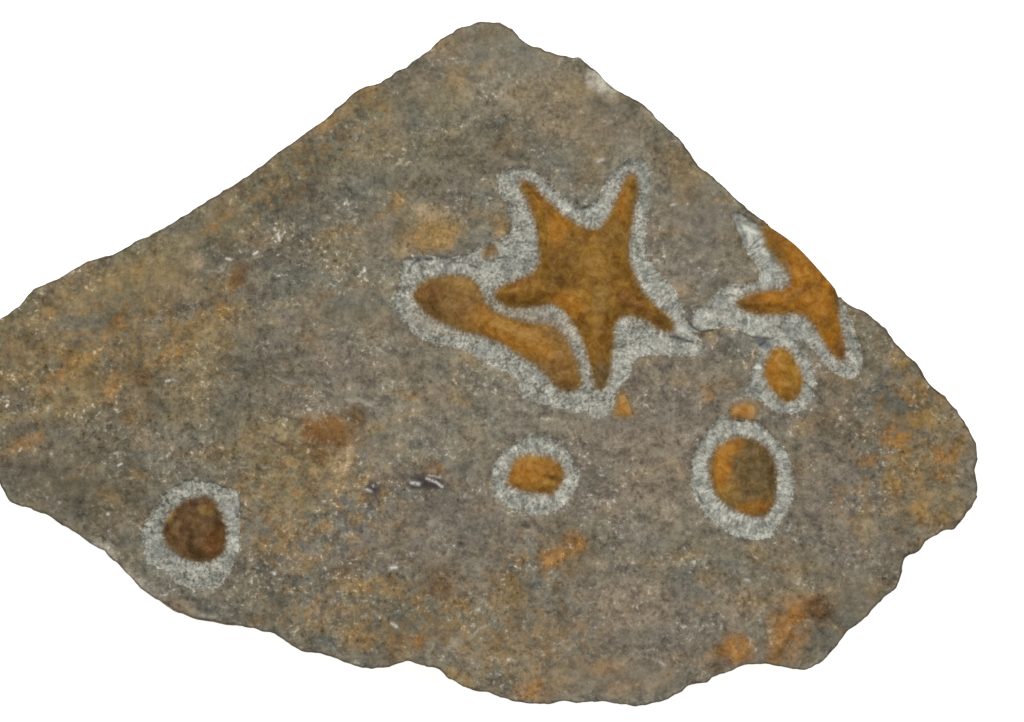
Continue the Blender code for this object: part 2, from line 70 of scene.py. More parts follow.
def reachOf(flat, x, y, halfLength, halfWidth, turn):
    # how far each place is from the middle of a turned ellipse, which has its edge at 1
    angle = math.radians(turn)
    along = (flat[:, 0] - x) * math.cos(angle) + (flat[:, 1] - y) * math.sin(angle)
    across = (flat[:, 1] - y) * math.cos(angle) - (flat[:, 0] - x) * math.sin(angle)
    return np.hypot(along / halfLength, across / halfWidth)


def curveThrough(points, spacing):
    # the straight runs of a smooth closed curve through the points
    corners = [np.array(point, float) for point in points]
    count = len(corners)
    loop = []
    for index in range(count):
        before, here, after, beyond = (corners[(index + step) % count] for step in (-1, 0, 1, 2))
        steps = max(1, round(float(np.hypot(*(after - here))) / spacing))
        for step in range(steps):
            t = step / steps
            bend = 2 * before - 5 * here + 4 * after - beyond
            twist = 3 * here - before - 3 * after + beyond
            loop.append(0.5 * (2 * here + (after - before) * t + bend * t * t + twist * t ** 3))
    return list(zip(loop, loop[1:] + loop[:1]))


def nearestOn(runs, flat):
    # how far each place is from the runs, and the nearest point on them
    best = np.full(len(flat), np.inf)
    spot = np.zeros((len(flat), 2))
    for start, end in runs:
        along = end - start
        share = np.clip((flat - start) @ along / max(along @ along, 1e-9), 0.0, 1.0)
        foot = start + share[:, None] * along
        away = np.hypot(flat[:, 0] - foot[:, 0], flat[:, 1] - foot[:, 1])
        closer = away < best
        best[closer] = away[closer]
        spot[closer] = foot[closer]
    return best, spot


def gapTo(runs, run):
    # how far the middle of one run is from the others
    away, _ = nearestOn(runs, (run[0] + run[1])[None] / 2)
    return away[0]


def within(runs, flat):
    # which places lie inside the closed runs
    odd = np.zeros(len(flat), bool)
    for start, end in runs:
        if start[1] == end[1]:
            continue
        crosses = (start[1] > flat[:, 1]) != (end[1] > flat[:, 1])
        reach = (end[0] - start[0]) * (flat[:, 1] - start[1]) / (end[1] - start[1]) + start[0]
        odd ^= crosses & (flat[:, 0] < reach)
    return odd


def depthInside(loops, flat):
    # distance to the edge of the area that the loops cover, positive inside it
    depth = np.full(len(flat), -np.inf)
    for runs in loops:
        away, _ = nearestOn(runs, flat)
        depth = np.maximum(depth, np.where(within(runs, flat), away, -away))
    return depth


def copyOf(node):
    # a merged copy of a solid's mesh, in millimetres
    form = bmesh.new()
    form.from_mesh(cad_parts[node].data)
    bmesh.ops.remove_doubles(form, verts=form.verts, dist=0.002 * mm)
    bmesh.ops.scale(form, vec=(1 / mm,) * 3, verts=form.verts)
    form.normal_update()
    return form


def placesOf(form):
    return np.array([vertex.co[:] for vertex in form.verts])


def normalsOf(form):
    form.normal_update()
    return np.array([vertex.normal[:] for vertex in form.verts])


def moveTo(form, places):
    for vertex, place in zip(form.verts, places):
        vertex.co = place


def trianglesOnly(form):
    bmesh.ops.triangulate(form, faces=[face for face in form.faces if len(face.verts) > 3])


def refine(form, sizeAt, rounds=8):
    # halves every edge that is much longer than the size wanted at its middle
    for _ in range(rounds):
        form.verts.index_update()
        form.edges.ensure_lookup_table()
        places = placesOf(form)
        ends = np.array([[vertex.index for vertex in edge.verts] for edge in form.edges])
        lengths = np.linalg.norm(places[ends[:, 0]] - places[ends[:, 1]], axis=1)
        middles = (places[ends[:, 0]] + places[ends[:, 1]]) / 2
        tooLong = np.nonzero(lengths > 1.4 * sizeAt(middles))[0]
        if not len(tooLong):
            break
        bmesh.ops.subdivide_edges(form, edges=[form.edges[i] for i in tooLong], cuts=1,
                                  use_grid_fill=True, use_single_edge=True)
        trianglesOnly(form)


def finishPiece(form, name, node, finish, layers):
    # the object for a reshaped copy, with its painted layers, in place of its solid
    bmesh.ops.scale(form, vec=(mm,) * 3, verts=form.verts)
    bmesh.ops.recalc_face_normals(form, faces=form.faces)
    for face in form.faces:
        face.smooth = True
        face.material_index = 0
    mesh = bpy.data.meshes.new(name)
    form.to_mesh(mesh)
    form.free()
    for layer, values in layers.items():
        kind, field = ("FLOAT_VECTOR", "vector") if values.ndim == 2 else ("FLOAT", "value")
        data = mesh.attributes.new(layer, kind, "POINT").data
        data.foreach_set(field, values.astype(np.float32).ravel())
    piece = bpy.data.objects.new(name, mesh)
    bpy.context.scene.collection.objects.link(piece)
    mesh.materials.append(finish)
    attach(piece, "root")
    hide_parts(node)
    print(name, "has", len(mesh.polygons), "faces")


patchEdge = {
    "wander": (0.28, 2.4),        # how ragged the edge of a patch is, and the size of its lobes
    "end": 1.6,                   # where it ends, in lengths of the ellipse
    "fade": 1.2,                  # over what share it fades out
}


def paint(flat, patches, kinds):
    # one layer for each kind of patch: how strongly it covers each place
    edgeWander = lumps(onLevel(flat), patchEdge["wander"], 21, 3)
    layers = {}
    for kind in kinds:
        layers[kind] = np.zeros(len(flat))
        for *ellipse, strength in patches.get(kind, ()):
            reach = reachOf(flat, *ellipse) + edgeWander
            cover = strength * eased((patchEdge["end"] - reach) / patchEdge["fade"])
            layers[kind] = np.maximum(layers[kind], cover)
    return layers


def tone(red, green, blue):
    # a surface colour from its 0 to 255 values
    linear = [((c / 255 + 0.055) / 1.055) ** 2.4 if c > 10 else c / 255 / 12.92
              for c in (red, green, blue)]
    return (*linear, 1.0)


def addNode(tree, kind, inputs, output=0, **settings):
    # one output of a new shader node; an input is a plain value or another node's output
    node = tree.nodes.new(kind)
    for key, value in settings.items():
        setattr(node, key, value)
    for key, value in inputs.items():
        if isinstance(value, bpy.types.NodeSocket):
            tree.links.new(value, node.inputs[key])
        else:
            node.inputs[key].default_value = value
    return node.outputs[output]


def plus(tree, first, *others):
    for other in others:
        first = addNode(tree, "ShaderNodeMath", {0: first, 1: other}, operation="ADD")
    return first


def minus(tree, first, other):
    return addNode(tree, "ShaderNodeMath", {0: first, 1: other}, operation="SUBTRACT")


def times(tree, first, *others):
    for other in others:
        first = addNode(tree, "ShaderNodeMath", {0: first, 1: other}, operation="MULTIPLY")
    return first


def shifted(tree, vector, step):
    return addNode(tree, "ShaderNodeVectorMath", {0: vector, 1: step}, operation="ADD")


def scaled(tree, vector, factor):
    # a place or a colour times a factor
    return addNode(tree, "ShaderNodeVectorMath", {0: vector, 3: factor}, operation="SCALE")


def ramped(tree, value, low, high, start=0.0, end=1.0):
    # the value stretched from low..high to start..end, with a soft start and end
    return addNode(tree, "ShaderNodeMapRange", {
        "Value": value, "From Min": low, "From Max": high, "To Min": start, "To Max": end},
        interpolation_type="SMOOTHSTEP")


def mixed(tree, share, first, second):
    return addNode(tree, "ShaderNodeMix", {0: share, 6: first, 7: second}, 2, data_type="RGBA")


def layerNode(tree, name, output="Fac"):
    # a painted layer of the mesh
    return addNode(tree, "ShaderNodeAttribute", {}, output, attribute_name=name)


def stained(tree, colour, kind, tones, patch, thin=0.6):
    # the colour with a stain where its layer lies, thin in places
    cover = times(tree, layerNode(tree, kind), ramped(tree, patch, 0.3, 0.55, thin))
    return mixed(tree, cover, colour, tones[kind])


def dusted(tree, colour, amount):
    # the colour with even steps of grey added, as fine dust and grit give
    soft = addNode(tree, "ShaderNodeGamma", {"Color": colour, "Gamma": 1 / 2.2})
    step = addNode(tree, "ShaderNodeCombineXYZ", {"X": amount, "Y": amount, "Z": amount})
    return addNode(tree, "ShaderNodeGamma", {"Color": shifted(tree, soft, step), "Gamma": 2.2})


# the noises in the finishes: size of their lumps, detail, roughness, distortion and seed
noises = {
    "wide": (5.0, 2.0, 0.6, 0.4, 0),           # the stone's own colour
    "tint": (4.2, 1.0, 0.5, 0.2, 23),
    "blush": (6.0, 1.0, 0.5, 0.3, 27),
    "grain": (2.6, 3.2, 0.85, 0.0, 3),
    "patch": (1.9, 2.0, 0.5, 0.3, 11),         # how the stains break up
    "broken": (2.3, 2.0, 0.5, 0.4, 71),
    "wander": (1.9, 2.0, 0.55, 0.8, 37),
    "cluster": (4.5, 3.0, 0.65, 0.0, 31),      # fine specks
    "flecks": (0.8, 2.5, 0.6, 0.2, 8),
    "facets": (0.45, 1.0, 0.5, 1.5, 61),
    "bed": (1.3, 4.0, 0.6, 0.8, 5),            # the layers in the side
    "bedTint": (2.6, 1.5, 0.5, 0.2, 23),
    "strokes": (0.5, 2.0, 0.6, 0.1, 2),        # the cut ground
    "crumbs": (0.5, 2.0, 0.7, 0.2, 17),
    "clumps": (1.3, 2.0, 0.6, 0.2, 19),
    "bluish": (3.0, 2.0, 0.5, 0.0, 41),
    "mottle": (3.0, 1.0, 0.5, 0.5, 4),         # the fossils
    "fossilPatch": (2.4, 1.0, 0.5, 0.5, 14),
    "fossilGrain": (1.3, 3.0, 0.75, 0.5, 9),
}


def noiseNode(tree, place, name):
    size, detail, roughness, distortion, seed = noises[name]
    return addNode(tree, "ShaderNodeTexNoise", {
        "Vector": shifted(tree, place, (seed, seed * 1.7, seed * 0.6)), "Scale": 1 / size,
        "Detail": detail, "Roughness": roughness, "Distortion": distortion})


def newFinish(name, surface):
    # a new material, its shader and the place on the object in millimetres
    finish = bpy.data.materials.new(name)
    finish.use_nodes = True
    tree = finish.node_tree
    shader = tree.nodes["Principled BSDF"]
    for key, value in surface.items():
        shader.inputs[key].default_value = value
    place = addNode(tree, "ShaderNodeTexCoord", {}, "Object")
    return finish, tree, shader, scaled(tree, place, 1 / mm)


def coverWith(tree, shader, colour, relief):
    # the shader takes its colour, and fine bumps from the relief
    tree.links.new(colour, shader.inputs["Base Color"])
    bump = addNode(tree, "ShaderNodeBump", {"Strength": 0.3, "Distance": 0.14 * mm, "Height": relief})
    tree.links.new(bump, shader.inputs["Normal"])


ground = {
    "height": 15.0,
    "swell": (0.45, 30.0),        # rise and size of the lumps
    "ripple": (0.16, 7.0),
    "grain": (0.09, 3.2),
    "grit": (0.028, 0.9),
    "rimDrop": (0.5, 1.6),        # how far the face falls at the edge, and over what width
    "cutDepth": 0.7,
    "cutSlope": 0.5,
    "cutWander": (0.45, 1.1),     # how the edge of the cut ground wanders
    "cutSpread": 0.1,             # how far it goes past its outline
    "tickHeight": 0.07,           # small radial marks on the cut ground
    "tickSize": 0.55,
    "tickStretch": 0.25,          # less than 1 makes them longer
    "pits": (0.6, 0.7),           # pits among them, as a share of their height, and size
    "flakeWander": (0.2, 1.8),
    "flakeEnd": 1.2,              # where a flake ends, in lengths of its ellipse
    "flakeSlope": 0.25,
    "crackDepth": 0.16,
    "ledgeRise": 0.1,
}

# where flakes came off: middle, half length, half width, turn and depth
flakes = [
    (19.5, 46.6, 3.6, 2.0, -40, 0.9),
    (-46.0, -41.6, 7.0, 2.2, -8, 0.9),
    (-63.0, -30.6, 2.4, 1.4, -35, 0.7),
    (38.0, -52.0, 3.6, 1.4, 20, 0.6),
    (77.5, -7.5, 4.0, 1.3, -50, 0.6),
]

cutOutlines = {
    "roundTheMainStar": [
        (2.3, 31.5), (4.5, 32.7), (7.7, 32.7), (9.7, 31), (12.2, 29), (14.3, 27), (16.2, 26),
        (17.7, 26), (19.2, 27.8), (20.8, 30.8), (22.5, 33), (24.3, 34.3), (26.7, 34), (27.8, 31.8),
        (27.8, 28), (27.5, 24), (27, 21), (27.2, 18.2), (28.5, 16.2), (30.2, 14.2), (32.3, 12),
        (33, 9.8), (33.5, 7.7), (34.5, 5.7), (36, 4.3), (37.2, 2.3), (34.8, 1.2), (31.3, 1.3),
        (27.7, 1.5), (25.2, 0.7), (24.5, -2), (23, -3.5), (22, -5.3), (21.7, -7.5), (20, -9),
        (18, -9.2), (17.2, -7.8), (15.3, -8.2), (12.5, -7.3), (9.5, -6.5), (6.7, -5.7), (6, -3.5),
        (4.5, -1.7), (2, -0.7), (-0.8, 1.2), (-3.8, 2.3), (-7.5, 3.2), (-10.7, 4.5), (-12.8, 6.7),
        (-15.3, 9.5), (-15, 11), (-14, 12.8), (-13.8, 15.3), (-13.2, 17.5), (-11, 18.2), (-7.8, 17.7),
        (-4.2, 17.8), (-2.3, 18.7), (-0.5, 20), (1.7, 20.5), (3.8, 21), (4.7, 22.5), (4.5, 24.7),
        (3.8, 26.8), (2.7, 29)],
    "roundTheEdgeStar": [
        (41.2, 25.5), (43, 25.3), (45.2, 23.8), (46.6, 23.4), (47.8, 24.4), (51, 24.5), (58, 19.5),
        (61.9, 13.5), (60.2, 10.5), (60.8, 8.7), (61.7, 6.8), (62.3, 4.2), (63.2, 2), (63, -0.8),
        (62.3, -2.2), (60.8, -2.5), (59.2, -1.8), (57, -0.3), (55.2, 2.3), (53.5, 3.7), (51.2, 4.3),
        (47.8, 4.3), (45, 4.7), (42.3, 5.7), (39.2, 6.2), (36, 5.5), (34.2, 5.7), (34.7, 7.7),
        (35.7, 9.7), (37.7, 10), (39.2, 11.8), (40.5, 13.3), (43.7, 13.3), (46, 14.2), (46.2, 15.5),
        (44.7, 17.7), (43.5, 19.5), (42.3, 22.3)],
    "roundTheOval": [
        (45.7, 3), (46.2, 2), (45.2, 0), (44.8, -2.2), (43.8, -3.8), (43.8, -5.3), (46.2, -6),
        (47.5, -7.3), (49.3, -8.2), (52, -8), (54.5, -6.5), (55.3, -4.2), (55.3, -1.5), (54.5, 1),
        (53.3, 3), (52, 4.2), (49.5, 5.2), (47.2, 4.3)],
    "roundTheLargeRing": [
        (34.7, -17.8), (35.3, -14.7), (37, -11.8), (38.8, -9.7), (40.8, -8.3), (42.8, -9.3),
        (45.3, -9.5), (47.8, -11.5), (50, -13.7), (51.3, -16.3), (51.7, -19.2), (51.7, -22.3),
        (50.7, -24.8), (49.2, -26.5), (48.5, -28.7), (45.3, -29.2), (42, -28.7), (39.2, -27.1),
        (37, -25.1), (35.5, -22.4), (34.7, -20)],
    "roundTheSmallRing": [
        (1.2, -19.2), (1.7, -16.8), (2.8, -15.2), (4.3, -13.5), (6.2, -12.3), (8.3, -11.8),
        (10.7, -11.8), (12.8, -13), (14.5, -15), (16, -17.2), (16.2, -19), (15.2, -21.2), (14, -22.8),
        (12.5, -24.3), (10.8, -25.5), (8.8, -25.2), (6.8, -25.3), (5.7, -24.3), (3.8, -23.5),
        (2.3, -22.5), (1.7, -20.8)],
    "roundTheDarkFossil": [
        (-57, -29), (-56.3, -26.5), (-54.8, -24), (-53, -21.8), (-51, -20.2), (-49, -19),
        (-46.8, -19.3), (-44.7, -19.8), (-42.5, -20.5), (-40.8, -21.2), (-40.5, -23.7), (-40.7, -26.3),
        (-40.5, -28.3), (-40.7, -30.7), (-41.3, -33), (-42.5, -35.2), (-44.2, -37.2), (-46.3, -37.5),
        (-49, -37.3), (-51.2, -36.5), (-52.3, -34.8), (-54.5, -33.7), (-56.2, -32.7), (-56.7, -31)],
}
cutLoops = [curveThrough(points, spacing=1.6) for points in cutOutlines.values()]
print("cut ground:", len(cutLoops), "areas")


def footRuns(node):
    # a fossil's outline, read from the edge of its flat foot
    form = copyOf(node)
    low = min(vertex.co.z for vertex in form.verts)
    runs = []
    for edge in form.edges:
        if all(vertex.co.z < low + 0.01 for vertex in edge.verts):
            if sum(face.normal.z < -0.9 for face in edge.link_faces) == 1:
                runs.append(tuple(np.array(vertex.co[:2]) for vertex in edge.verts))
    form.free()
    return runs


fossilRuns = {name: footRuns(name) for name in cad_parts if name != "matrix_slab"}
allFossilRuns = [run for runs in fossilRuns.values() for run in runs]

slab = {
    "faceSpacing": 0.54,          # size of the mesh on the face, the cut ground and so on
    "cutSpacing": 0.36,
    "markSpacing": 0.2,
    "sideSpacing": 0.8,
    "underSpacing": 1.7,
    "underSquares": 8.0,
    "hiddenSpacing": 3.0,
    "cutMargin": 0.7,             # how far the finer mesh goes past the cut ground
    "markMargin": 0.25,           # and past a crack, ledge or glint
    "faceAbove": 13.3,            # what lies higher is the upper face
    "wallsAbove": 13.0,           # what lies higher is the face or the walls round a fossil
    "seatHeight": 12.9,           # the hidden floors under the fossils
    "seatMargin": (-0.05, 0.06),
    "underBelow": 0.05,
    "wallGap": 0.45,              # the most that a fossil's wall in the slab stands off from it
    "rimGap": 0.8,                # what lies farther from the rim is never the side
    "closeUp": 0.5,               # how far the ground closes up to the fossils
    "closeUpReach": (0.3, 1.3),
    "sideSmoothing": 6,
    "strata": (0.55, 1.5, 14.0),  # depth of the layers in the side, their height and length
    "hackle": (0.5, 3.4),         # depth and size of the breaks in the side
    "sideGrain": (0.1, 0.9),
    "sideClimb": (2.4, 18.0),     # how far the layers climb and fall
    "underRelief": (0.35, 7.0),
    "chips": (0.24, 1.7),         # how far the rim wanders, and over what length
    "chipReach": 1.6,
    "chipGap": 0.4,               # closest that a chip comes to a fossil
    "quietSide": (13.6, 4.0),     # the side's relief fades out up to this height, over this length
    "leastRelief": 0.22,
    "shadedRimHeight": 14.3,
    "shadedRimFade": 0.5,           # how fast the painted shade at the rim fades down the side
    "sideStains": 0.35,           # strength of the strong stains off the face
}
faceTag, sideTag, underTag, seatTag = range(4)
farAway = 9.0                     # for layers that are read only near an edge


def rimRuns():
    # the edge between the slab's upper face and its side, closed by the broken starfish
    form = copyOf("matrix_slab")
    rim = []
    walls = []
    for edge in form.edges:
        leans = sorted(face.normal.z for face in edge.link_faces)
        low = min(vertex.co.z for vertex in edge.verts)
        if low > slab["wallsAbove"] and leans[0] < 0.6 < leans[1]:
            run = tuple(np.array(vertex.co[:2]) for vertex in edge.verts)
            (walls if gapTo(allFossilRuns, run) < slab["wallGap"] else rim).append(run)
    form.free()
    return rim + [run for run in fossilRuns["edge_starfish"] if gapTo(walls, run) > 0.6]


rimEdge = rimRuns()
print("rim found:", len(rimEdge), "edges")


def flakeDepth(flat):
    # how much lower the face is where flakes came off
    depth = np.zeros(len(flat))
    wander = lumps(onLevel(flat), ground["flakeWander"], 5, 2)
    for *ellipse, deep in flakes:
        reach = reachOf(flat, *ellipse) + wander
        depth = np.maximum(depth, deep * eased((ground["flakeEnd"] - reach) / ground["flakeSlope"]))
    return depth


def faceHeight(flat, cut, rimAway, nearFossil):
    # height of the slab's upper face, with the cut ground and its radial marks
    level = onLevel(flat, 3.0)
    height = ground["height"] + lumps(level, ground["swell"])
    height += lumps(level + (0, 0, 37), ground["ripple"])
    height += lumps(level, ground["grain"], 2, 3)
    height += lumps(level, ground["grit"], 3, 2)
    drop, width = ground["rimDrop"]
    height -= np.exp(-rimAway / width) * drop
    height -= flakeDepth(flat)
    wander = lumps(level, ground["cutWander"], 4, 2)
    sunk = eased((cut + wander + ground["cutSpread"]) / ground["cutSlope"])
    radial = np.column_stack([nearFossil, cut * ground["tickStretch"]])
    ticks = cloud(radial, ground["tickSize"], 6, 2) + lumps(level, ground["pits"], 8, 2)
    height -= sunk * (ground["cutDepth"] - ticks * ground["tickHeight"])
    return height


